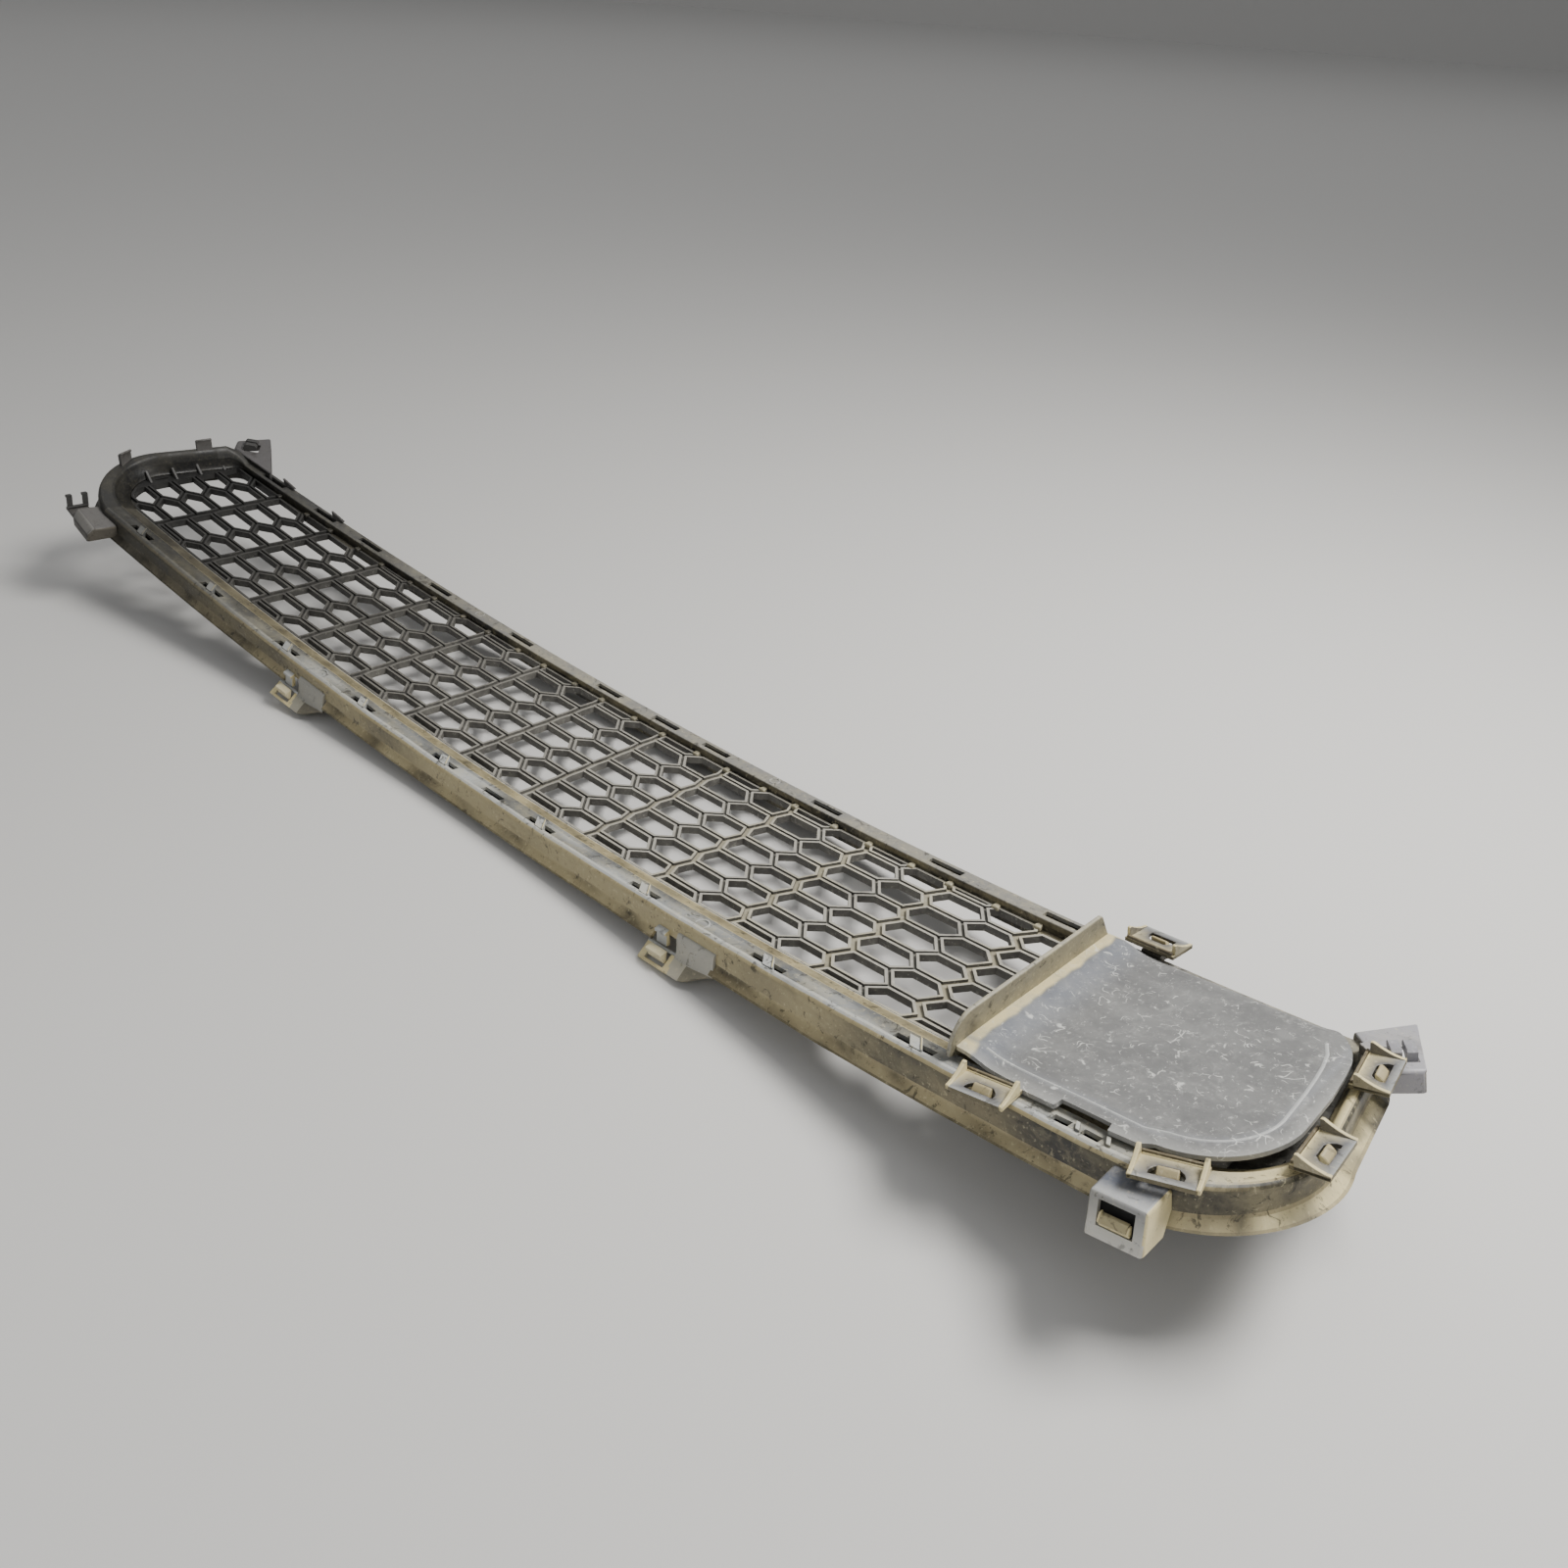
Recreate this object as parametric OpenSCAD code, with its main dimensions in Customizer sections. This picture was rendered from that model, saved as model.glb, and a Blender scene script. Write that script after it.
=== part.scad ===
// Lower bumper grille, seen and modelled with its rear side up (+Z) and its front face down.
// X runs along the bumper, -Y is the wide lower rim, and the origin is the middle of the mesh's rear face.

/* [Mesh] */
// Distance between two crossbars of the mesh
bay = 65; // [55:1:72]
// Height of one row of cells
row = 21.1; // [19:0.1:23]
// Width of a bar between two cells
bar_w = 5; // [4:0.5:6]
// Width of a crossbar
cross_w = 6.6; // [5.5:0.1:8]
// Depth of the mesh from rear to front
mesh_deep = 4.8; // [4:0.1:8]

/* [Opening] */
// Half of the opening's width at the middle of the grille
open_half = 62.2; // [58:0.1:66]
// Radius that the whole grille is bent to along the bumper
sweep_r = 2200; // [1900:10:2600]
// How fast the lower edge drops towards the ends, per mm squared
lower_drop = 0.00008; // [0.00005:0.0000001:0.0001]
// How fast the upper edge drops towards the ends, per mm squared
upper_drop = 0.000145; // [0.0001:0.0000001:0.00015]
// Where the lower edge turns into the corner arc
lower_corner_x = 478; // [470:1:482]
// Radius of the opening's lower corners
lower_corner_r = 38; // [30:1:42]
// Where the upper corner arc meets the upper edge
upper_corner_x = 501.4; // [499:0.1:502]
// Radius of the opening's upper corners
upper_corner_r = 10; // [8:1:12]
// Lean of the end walls, outwards at the bottom
end_lean = 9; // [7:0.5:11]

/* [Surround] */
// Wall thickness of the surround moulding
wall = 2.5; // [2:0.1:3]
// Thickness of plates, brackets and clips
plate_t = 2.4; // [2:0.1:3]

/* [Blanking panel] */
// Where the fence wall of the panel stands
fence_x = 366; // [360:1:372]
// Height of the fence's top over the mesh
fence_top = 32; // [26:1:36]
// Height of the panel's outer face over the mesh
panel_top = 13; // [12.5:0.1:14]

/* [Hidden] */

half_bays = 8;
insert_gap = 0.25;
insert_rim = 2.3;
rail_steps = 16;
slab_fn = 720;
deep_cut = 12;
high_cut = 140;
fit_gap = 0.3;
root_r = 1.2;

grey = [0.36, 0.36, 0.35];
dark = [0.24, 0.24, 0.24];
dust = [0.62, 0.59, 0.50];
pale = [0.55, 0.55, 0.54];

// Height of the bent mesh face over its middle, at a place along the bumper
function bend(x) = sweep_r - sqrt(sweep_r * sweep_r - x * x);
function bend_angle(x) = asin(x / sweep_r);
// Lower and upper edges of the opening in plan
function lower_y(x) = -open_half - lower_drop * x * x;
function upper_y(x) = open_half - upper_drop * x * x;
function mix(a, b, t) = a * (1 - t) + b * t;

// ---- Path of the surround ----
// A station is [x, y, outward x, outward y, [profile, next profile, share of the next one]]
function edge_station(x, y, slope, side, kind) =
    let (n = sqrt(1 + slope * slope)) [x, y, -side * slope / n, side / n, kind];
function arc_station(c, r, a, kind) = [c[0] + r * sin(a), c[1] - r * cos(a), sin(a), -cos(a), kind];

// Profiles of the surround, by number
rim_deep = 0;
rim_shallow = 1;
end_low = 2;
end_tall = 3;
rail = 4;
shallow_to_x = 120;
deep_from_x = 300;
function deep_share(x) = min(1, max(0, (x - shallow_to_x) / (deep_from_x - shallow_to_x)));

lower_path = [for (i = [0 : rail_steps])
    let (x = lower_corner_x * (2 * i / rail_steps - 1))
        edge_station(x, lower_y(x), -2 * lower_drop * x, -1, [rim_shallow, rim_deep, deep_share(x)])];
upper_path = [for (i = [0 : rail_steps])
    let (x = upper_corner_x * (1 - 2 * i / rail_steps))
        edge_station(x, upper_y(x), -2 * upper_drop * x, 1, [rail, rail, 0])];

lower_turn = -atan(2 * lower_drop * lower_corner_x);
end_turn = 90 + end_lean;
upper_turn = 180 - atan(2 * upper_drop * upper_corner_x);
lower_c = [lower_corner_x - lower_corner_r * sin(lower_turn),
    lower_y(lower_corner_x) + lower_corner_r * cos(lower_turn)];
upper_c = [upper_corner_x - upper_corner_r * sin(upper_turn),
    upper_y(upper_corner_x) + upper_corner_r * cos(upper_turn)];
corner_steps = 7;
tip_steps = 4;
// Path around one end, as it runs on the right side
function end_path(rim, end) = concat(
    [for (i = [0 : corner_steps]) let (t = i / corner_steps)
        arc_station(lower_c, lower_corner_r, mix(lower_turn, end_turn, t), [rim, end, t])],
    [for (i = [0 : tip_steps]) let (t = i / tip_steps)
        arc_station(upper_c, upper_corner_r, mix(end_turn, upper_turn, t), [end, rail, t])]);
right_path = end_path(rim_deep, end_low);
left_turned = end_path(rim_shallow, end_tall);
end_count = len(left_turned);
left_path = [for (i = [1 : end_count])
    let (s = left_turned[end_count - i]) [-s[0], s[1], -s[2], s[3], s[4]]];
ring_path = concat(lower_path, right_path, upper_path, left_path);

// Rear outlines of the moulding: distance out of the opening, height over the mesh
rim_inner = [[0, -9], [0, 0.8], [2, 1.6], [11, 5.2], [13, 7.2], [16, 8.1], [22, 8.4], [26, 7.4], [27.4, 4.8]];
profiles = [
    concat(rim_inner, [[28.4, -7.6], [32.5, -12.5]]),
    concat(rim_inner, [[28, -4.2], [32.5, -8.2]]),
    [[0, -9], [0, 0.8], [0.9, 1.6], [2, 4.2], [2.8, 6], [4, 7.2], [5.6, 7.6], [7.2, 7],
        [8.6, 5], [10, -6], [18, -12.5]],
    [[0, -9], [0, 0.8], [0.8, 1.6], [1.6, 6], [2.2, 11], [3.4, 15], [5.6, 16.4], [7.6, 15.6],
        [8.8, 12], [10, -4], [15, -9]],
    [[0, -9], [0, 0.8], [0, 2.4], [0.1, 3.8], [0.5, 5], [3, 5], [6, 5], [9, 5],
        [11.2, 4.6], [12, -6], [15.5, -11]]];
function outline(kind) = [for (i = [0 : len(profiles[0]) - 1])
    mix(profiles[kind[0]][i], profiles[kind[1]][i], kind[2])];

// A thin wall: the outline and the same line one wall thickness further in
function unit(v) = v / norm(v);
function right_of(v) = [v[1], -v[0]];
function inner_point(p, i, t) =
    let (last = len(p) - 1,
        n1 = right_of(unit(p[max(i, 1)] - p[max(i, 1) - 1])),
        n2 = right_of(unit(p[min(i, last - 1) + 1] - p[min(i, last - 1)])))
        p[i] + (n1 + n2) * t / (1 + n1 * n2);
function shell_outline(p, t) = concat(p, [for (i = [1 : len(p)]) inner_point(p, len(p) - i, t)]);

function place(s, q) = let (x = s[0] + s[2] * q[0], y = s[1] + s[3] * q[0]) [x, y, bend(x) + q[1]];
function ring_points(path) = [for (s = path) for (q = shell_outline(outline(s[4]), wall)) place(s, q)];
function side_faces(rings, n) = [for (i = [0 : rings - 2]) for (j = [0 : n - 1]) for (half = [0, 1])
    let (a = i * n + j, b = i * n + (j + 1) % n) half == 0 ? [a, a + n, b + n] : [a, b + n, b]];
function cap_faces(rings, n) = [for (j = [0 : n / 2 - 2]) for (half = [0, 1]) for (far = [0, 1])
    let (k = n - 1 - j, base = far * (rings - 1) * n,
        t = half == 0 ? [j, j + 1, k - 1] : [j, k - 1, k])
        far == 0 ? [base + t[0], base + t[1], base + t[2]] : [base + t[2], base + t[1], base + t[0]]];
module swept(path) {
    n = 2 * len(profiles[0]);
    polyhedron(points = ring_points(path),
        faces = concat(side_faces(len(path), n), cap_faces(len(path), n)), convexity = 10);
}

// A slice of the bent slab between two heights over the mesh face, under a plan outline
module bent(low, high) {
    intersection() {
        translate([0, 0, -deep_cut]) linear_extrude(deep_cut + high_cut) children();
        translate([0, 0, sweep_r]) rotate([90, 0, 0]) difference() {
            cylinder(r = sweep_r - low, h = 400, center = true, $fn = slab_fn);
            cylinder(r = sweep_r - high, h = 402, center = true, $fn = slab_fn);
        }
    }
}

// A block cut through a wall of the surround at a place along a rail
module slot_at(x, y, along, across, turn) {
    translate([x, y, bend(x)]) rotate([0, 0, turn]) cube([along, across, 40], center = true);
}

// ---- Slots of the surround ----
slot_w = 4.6;
rim_slot_places = [-435, -340, -240, -147, -53, 48, 146, 247, 349];
rim_slot_long = 25;
rim_slot_u = 20.2;
plain_slot_place = -1;
plain_slot_long = 19;
rail_slot_places = [-470, -405, -348, -262, -165, -66, -5, 46, 150, 250, 335];
rail_slot_long = 25;
rail_slot_u = 5.6;
panel_slot_places = [433.5, 449];
panel_slot_long = 9;
module rim_slot(x, long) {
    slot_at(x, lower_y(x) - rim_slot_u, long, slot_w, -atan(2 * lower_drop * x));
}

// ---- Bare catch tabs of the free end, where no panel is fitted ----
tab_places = [[-524.9, -64.6, 28, 12.4], [-518.2, 0, -9, 14.6]];
tab_wide = 13;
tab_high = 10;
module end_tabs() {
    for (p = tab_places)
        translate([p[0], p[1], bend(p[0]) + p[3] + tab_high / 2]) rotate([0, 0, p[2]])
            cube([plate_t, tab_wide, tab_high], center = true);
}

// ---- Spikes of the upper rail ----
spike_places = [-462, -400];
module rail_spikes() {
    for (x = spike_places)
        translate([x, upper_y(x) + 9.6, bend(x) + 4]) rotate([90, 0, 6]) linear_extrude(2, center = true)
            polygon([[0, 0], [13, 0], [13, 1.2], [-2, 6]]);
}

// ---- Surround ----
// The rim with its lip cut away where a gusset bracket passes down over it
module rim_body() {
    difference() {
        swept(lower_path);
        for (p = [lower_mid_left_at, lower_mid_right_at])
            bracket_at(p) translate([0, -12, -30]) cube([gusset_wide, 12 - notch_in, 30]);
    }
}
module surround_lower_rim() {
    color(dust) union() {
        difference() {
            rim_body();
            for (x = rim_slot_places) rim_slot(x, rim_slot_long);
            for (x = panel_slot_places) rim_slot(x, panel_slot_long);
            rim_slot(plain_slot_place, plain_slot_long);
        }
        hasp_at(hasp_lower_inner) catch_post(post_low);
    }
}
module surround_right_end() {
    color(dust) union() {
        swept(right_path);
        for (p = [hasp_lower_outer, hasp_end_lower, hasp_end_upper]) hasp_at(p) catch_post(short_post_low);
    }
}
module surround_upper_rail() {
    color(grey) union() {
        difference() {
            swept(upper_path);
            for (x = rail_slot_places)
                slot_at(x, upper_y(x) + rail_slot_u, rail_slot_long, slot_w, -atan(2 * upper_drop * x));
        }
        hasp_at(hasp_upper) catch_post(post_low);
        rail_spikes();
    }
}
module surround_left_end() {
    color(dark) union() {
        swept(left_path);
        end_tabs();
    }
}

// ---- Mesh insert ----
function ring_plan(out) = [for (s = ring_path) [s[0] + out * s[2], s[1] + out * s[3]]];

// Height in plan of a row line, which drops towards the ends like the opening does
function row_line(y0, x) = y0 - x * x / bay * (0.0066 + 0.00052 * y0 / bay);
function blunt_row(i, x) = row_line((i - 0.5) * row, x);
function offset_row(i, x) = row_line(i * row - 1.2, x);
// How far a crossbar zigzags to each side, which grows from the middle to the right end
function zigzag(k) = 0.4 + 0.85 * max(0, k);
tip_near = 0.46;
tip_far = 0.62;

// Meeting point of two lines moved inwards by their own bars' half widths
function inset_corner(a, b, c, d1, d2) =
    let (u = unit(b - a), v = unit(c - b), n1 = [-u[1], u[0]], n2 = [-v[1], v[0]],
        det = u[0] * v[1] - u[1] * v[0],
        w = (b + n2 * d2) - (b + n1 * d1),
        t = (w[0] * v[1] - w[1] * v[0]) / det)
        b + n1 * d1 + u * t;
function inset_cell(p, d) = [for (i = [0 : len(p) - 1])
    let (n = len(p), h = (i + n - 1) % n) inset_corner(p[h], p[i], p[(i + 1) % n], d[h], d[i])];

// Cell that starts at a crossbar and points to the middle of its bay
function near_cell(k, i) =
    let (x0 = k * bay, z = zigzag(k), near = x0 + tip_near * bay, far = x0 + tip_far * bay)
        inset_cell([[x0 + z, blunt_row(i, x0)], [near, blunt_row(i, near)], [far, offset_row(i, far)],
            [near, blunt_row(i + 1, near)], [x0 + z, blunt_row(i + 1, x0)], [x0 - z, offset_row(i, x0)]],
            [bar_w, bar_w, bar_w, bar_w, cross_w, cross_w] / 2);
// Cell that starts in the middle of its bay and ends at the next crossbar
function far_cell(k, i) =
    let (x1 = (k + 1) * bay, z = zigzag(k + 1), near = (k + tip_near) * bay, far = (k + tip_far) * bay)
        inset_cell([[far, offset_row(i, far)], [x1 - z, offset_row(i, x1)], [x1 + z, blunt_row(i + 1, x1)],
            [x1 - z, offset_row(i + 1, x1)], [far, offset_row(i + 1, far)], [near, blunt_row(i + 1, near)]],
            [bar_w, cross_w, cross_w, bar_w, bar_w, bar_w] / 2);
module mesh_cells() {
    for (k = [-half_bays : half_bays - 1]) for (i = [-4 : 3]) {
        polygon(near_cell(k, i));
        polygon(far_cell(k, i));
    }
}
end_bar_x = 511;
end_bar_w = 5;
end_slot_out = 3.8;
end_slot_rim = 1.4;
module mesh_insert() {
    color(grey) bent(-mesh_deep, 0) difference() {
        polygon(ring_plan(-insert_gap));
        intersection() {
            polygon(ring_plan(-insert_rim));
            mesh_cells();
            square([2 * end_bar_x - end_bar_w, 200], center = true);
        }
        intersection() {
            polygon(ring_plan(-end_slot_rim));
            for (side = [-1, 1]) for (i = [-3 : -1])
                translate([side * (end_bar_x + end_slot_out), i * row + 1]) square([2.6, row * 0.55], center = true);
        }
    }
}

// ---- Snap hooks that stand in the slots of the lower rim ----
hook_long = 6;
module insert_hooks_lower() {
    color(dust) for (x = rim_slot_places)
        translate([x, lower_y(x) - rim_slot_u, bend(x)]) rotate([0, 0, -atan(2 * lower_drop * x)])
            rotate([90, 0, 0]) linear_extrude(slot_w - 2 * fit_gap, center = true)
                polygon([[-hook_long, -4], [hook_long - 3, -4], [hook_long, 9], [hook_long - 5, 9]]);
}

// ---- Blanking panel ----
panel_low = 10.5;
panel_corner_r = 44;
panel_corner = [471.5, -48.5];
ledge_w = 6;
function panel_lower_y(x) = lower_y(x) - 16;
function panel_upper_y(x) = upper_y(x) + 4.5;
panel_xs = [for (i = [0 : 4]) mix(fence_x, panel_corner[0] - 4, i / 4)];
panel_plan = concat(
    [for (x = panel_xs) [x, panel_lower_y(x)]],
    [for (a = [-88 : 11 : 0]) panel_corner + panel_corner_r * [cos(a), sin(a)]],
    [[510.5, 8], [505, 18], [497, 26.5]],
    [for (x = [490, 460, 430, 400, fence_x]) [x, panel_upper_y(x)]]);
fence_low = -93;
fence_high = 42.2;
fence_curve = 14;
module fence_wall() {
    drop = fence_top - panel_top;
    rim = lower_y(fence_x);
    translate([fence_x, 0, bend(fence_x)]) rotate([90, 0, 90]) linear_extrude(plate_t)
        polygon(concat([[fence_high, 0.5], [fence_high, panel_top], [fence_high - 13, fence_top]],
            [for (a = [0 : 15 : 90]) [fence_low + fence_curve * (1 - sin(a)), panel_top + drop * cos(a)]],
            [[fence_low, 10.5], [rim - 16, 8.9], [rim - 13, 7.9], [rim - 11, 6], [rim - 2, 2.3], [rim, 0.5]]));
}
module blanking_panel() {
    color(pale) union() {
        bent(panel_low, panel_top) polygon(panel_plan);
        fence_wall();
        bent(panel_top - 0.5, panel_top + 1.6) intersection() {
            polygon(panel_plan);
            translate([fence_x, -100]) square([ledge_w, 160]);
        }
    }
}

// ---- Hasps of the panel ----
// A flat loop with a window and two side walls, drawn with its root at the origin and +Y outwards
hasp_wide = 30;
hasp_out = 17;
hasp_t = 2.2;
module hasp() {
    difference() {
        union() {
            rotate([0, 90, 0]) cylinder(r = root_r, h = hasp_wide, center = true, $fn = 24);
            translate([-hasp_wide / 2, 0, -hasp_t / 2]) cube([hasp_wide, hasp_out, hasp_t]);
            for (side = [-1, 1]) translate([side * (hasp_wide / 2 - 1), 0, 0]) rotate([90, 0, 90])
                linear_extrude(2, center = true) polygon([[1.8, 0], [hasp_out, 0], [hasp_out, 1.1],
                    [6, 6], [2.4, 6.4]]);
        }
        translate([0, hasp_out - 7, 0]) cube([15, 6.4, 12], center = true);
    }
}
// Places of the hasps: root x, root y, turn about Z, and height of the root over the mesh
hasp_high = 10.8;
hasp_lower_inner = [394.5, -94.6, 180 + 3.4];
hasp_lower_outer = [483.5, -95.4, 180 + 14];
hasp_end_lower = [519, -58, -86];
hasp_end_upper = [513.2, 7, -81];
hasp_upper = [389, upper_y(389) + 6.4, -6];
module hasp_at(p) {
    translate([p[0], p[1], bend(p[0]) + hasp_high]) rotate([0, -bend_angle(p[0]), 0])
        rotate([0, 0, p[2]]) children();
}
module panel_clip_lower_inner() { color(dust) hasp_at(hasp_lower_inner) hasp(); }
module panel_clip_lower_outer() { color(dust) hasp_at(hasp_lower_outer) hasp(); }
module panel_clip_end_lower() { color(dust) hasp_at(hasp_end_lower) hasp(); }
module panel_clip_end_upper() { color(dust) hasp_at(hasp_end_upper) hasp(); }
module panel_clip_upper() { color(dust) hasp_at(hasp_upper) hasp(); }

// A catch of the surround that stands in the window of its hasp, on a shelf that reaches back to the rim
post_low = 7.6;
short_post_low = 5.2;
shelf_top = -3.2;
shelf_in = 8;
module catch_post(low) {
    translate([0, hasp_out - 7, 0]) rotate([90, 0, 90]) linear_extrude(12, center = true)
        polygon([[-shelf_in, shelf_top], [-shelf_in, -low], [2.2, -low], [2.2, -1], [-1.2, 2.4],
            [-2.2, 2.4], [-2.2, shelf_top]]);
}

// ---- Mounting brackets ----
// A hollow box open to the front, from a profile in Y and Z, with a window for its tongue
module box_bracket(outer, inner, wide) {
    difference() {
        rotate([90, 0, 90]) linear_extrude(wide, center = true) polygon(outer);
        rotate([90, 0, 90]) linear_extrude(wide - 2 * plate_t, center = true) polygon(inner);
        children();
    }
}
module bracket_at(p) {
    translate([p[0], p[1], bend(p[0]) + p[2]]) rotate([0, -bend_angle(p[0]), 0]) rotate([0, 0, p[3]])
        children();
}
// How far a bracket starts inside the rim's outer wall before that wall is taken away from it
wall_bite = 26.9;

// A wedge that stands in a window and bends about the window's outer edge
module tongue(wide, high) {
    union() {
        rotate([0, 90, 0]) cylinder(r = root_r, h = wide, center = true, $fn = 24);
        rotate([90, 0, 90]) linear_extrude(wide, center = true)
            polygon([[-0.9, 0], [0.9, 0], [1.1, high], [-3.4, high - 1.6], [-3.4, high - 3]]);
    }
}

// Square bracket with a steep face, windowed
right_out = [[0, -10], [0, 0], [-17.5, -0.6], [-22.4, -19.5], [-6, -19.5]];
right_in = [[0.1, -10], [0.1, -2.4], [-15.5, -2.9], [-20.1, -20.5], [-5, -20.5]];
right_wide = 27;
lower_right_at = [476.5, lower_y(476.5) - wall_bite, 5.4, 0];
window_low = -14;
window_high = -3;
window_wide = 17;
module lower_right_bracket() {
    color(pale) difference() {
        bracket_at(lower_right_at) box_bracket(right_out, right_in, right_wide)
            translate([-window_wide / 2, -28, window_low]) cube([window_wide, 20, window_high - window_low]);
        rim_body();
        swept(right_path);
    }
}
module lower_right_tongue() {
    color(dust) bracket_at(lower_right_at) translate([0, -19.7, window_low + fit_gap + root_r])
        tongue(window_wide - 2, 8.4);
}

// Gusset brackets of the lower rim: an upright plate that folds outwards, with a windowed lug to its left
gusset_line = [[0, 0], [-2.6, -0.6], [-3.8, -13], [-13, -20.4], [-11.5, -22.3], [-1.4, -14.2], [0, -14]];
gusset_wide = 28;
notch_in = 1.4;
lug_wide = 25;
lug_top = -12.4;
lug_window = [-20, -5];
lug_window_low = -18.9;
lug_window_high = -13.7;
lower_mid_left_at = [-210, lower_y(-210) - wall_bite, 1, 2];
lower_mid_right_at = [186, lower_y(186) - wall_bite, 1, -1.7];
module gusset_bracket(p) {
    difference() {
        bracket_at(p) difference() {
            translate([-lug_wide, 0, 0]) rotate([90, 0, 90]) linear_extrude(lug_wide + gusset_wide)
                polygon(gusset_line);
            translate([-lug_wide - 1, -20, lug_top]) cube([lug_wide + 1, 30, 20]);
            translate([lug_window[0], -20, lug_window_low])
                cube([lug_window[1] - lug_window[0], 20, lug_window_high - lug_window_low]);
            translate([gusset_wide, -3.9, -30]) rotate([0, 0, 24]) translate([-40, -20, 0])
                cube([60, 20, 17]);
        }
        rim_body();
    }
}
module lower_mid_left_bracket() { color(pale) gusset_bracket(lower_mid_left_at); }
module lower_mid_right_bracket() { color(pale) gusset_bracket(lower_mid_right_at); }
module lug_tongue() {
    translate([(lug_window[0] + lug_window[1]) / 2, -8.6, lug_window_low + fit_gap + root_r])
        rotate([-8, 0, 0]) tongue(lug_window[1] - lug_window[0] - 2, 6);
}
module lower_mid_left_tongue() { color(dust) bracket_at(lower_mid_left_at) lug_tongue(); }
module lower_mid_right_tongue() { color(dust) bracket_at(lower_mid_right_at) lug_tongue(); }

// Bracket of the lower left corner, with a forked tongue
lower_left_at = [-474, lower_y(-474) - wall_bite, 3, -4];
left_out = [[0, -9], [0, 0], [-16, 1], [-21, -5], [-21, -12]];
left_in = [[0.1, -9], [0.1, -2.4], [-15, -1.5], [-18.6, -5.8], [-18.6, -13]];
module lower_left_bracket() {
    color(dark) difference() {
        bracket_at(lower_left_at) union() {
            box_bracket(left_out, left_in, 34);
            translate([-31, -20, -7.4]) cube([15, 16, plate_t]);
        }
        rim_body();
        swept(left_path);
    }
}
module lower_left_tongue() {
    color(dark) bracket_at(lower_left_at) translate([-27, -12, -5 + fit_gap + root_r]) rotate([0, 0, -90])
        union() {
            rotate([0, 90, 0]) cylinder(r = root_r, h = 16, center = true, $fn = 24);
            for (side = [-1, 1]) translate([side * 6, 0, 0]) rotate([90, 0, 90]) linear_extrude(4, center = true)
                polygon([[-0.9, 0], [0.9, 0], [1.1, 11], [-3, 10], [-3, 8.4], [-0.9, 8]]);
        }
}

// Upper brackets: a four-cornered ear behind each corner, with a slotted clip on its top plate
upper_left_at = [-526.5, 32.2, 10, -40];
upper_right_at = [529, 20.3, 8, 35];
upper_left_plan = [[-7.2, 0], [7.2, 0], [37.6, 36.9], [-20.1, 25.3]];
upper_right_plan = [[-8.8, 0], [8.8, 0], [14.4, 40.2], [-18.6, 32.4]];
ear_deep = 13;
ear_clip_x = 1.5;
ear_clip_y = 9;
ear_from = 9.7;
// What the ring itself and the space inside it take from an ear
module ring_space() {
    translate([0, 0, -50]) linear_extrude(200) polygon(ring_plan(ear_from));
}
module ear(plan) {
    difference() {
        translate([0, 0, -ear_deep]) linear_extrude(ear_deep) polygon(plan);
        translate([0, 0, -ear_deep - 1]) linear_extrude(ear_deep + 1 - plate_t) offset(delta = -plate_t)
            polygon(plan);
        translate([ear_clip_x - 6.5, ear_clip_y - 2, -plate_t - 1]) cube([13, 13, plate_t + 2]);
    }
}
module upper_tongue() {
    translate([ear_clip_x, ear_clip_y, -plate_t / 2]) union() {
        rotate([0, 90, 0]) cylinder(r = root_r, h = 11.2, center = true, $fn = 24);
        for (side = [-1, 1]) translate([side * 3.3, 0, 0]) rotate([90, 0, 90]) linear_extrude(4.6, center = true)
            polygon([[-0.9, 0], [0.9, 0], [9.4, 3.4], [9.4, 5.4], [8, 6.6], [0.6, 6.6], [-0.9, 5.4]]);
    }
}
module upper_left_bracket() {
    color(dark) difference() {
        bracket_at(upper_left_at) ear(upper_left_plan);
        ring_space();
        swept(left_path);
        swept(upper_path);
    }
}
module upper_right_bracket() {
    color(pale) difference() {
        bracket_at(upper_right_at) ear(upper_right_plan);
        ring_space();
        swept(right_path);
        swept(upper_path);
    }
}
module upper_left_tongue() { color(dark) bracket_at(upper_left_at) upper_tongue(); }
module upper_right_tongue() { color(pale) bracket_at(upper_right_at) upper_tongue(); }

surround_lower_rim();
surround_right_end();
surround_upper_rail();
surround_left_end();
mesh_insert();
insert_hooks_lower();
blanking_panel();
panel_clip_lower_inner();
panel_clip_lower_outer();
panel_clip_end_lower();
panel_clip_end_upper();
panel_clip_upper();
lower_left_bracket();
lower_mid_left_bracket();
lower_mid_right_bracket();
lower_right_bracket();
upper_left_bracket();
upper_right_bracket();
lower_left_tongue();
lower_mid_left_tongue();
lower_mid_right_tongue();
lower_right_tongue();
upper_left_tongue();
upper_right_tongue();
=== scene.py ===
"""Front grille of a lower bumper: detailed pieces around the CAD frame, floor, light and camera."""
import math
import bpy
import bmesh
from mathutils import Matrix, Vector, noise
from mathutils.geometry import tessellate_polygon


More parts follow.
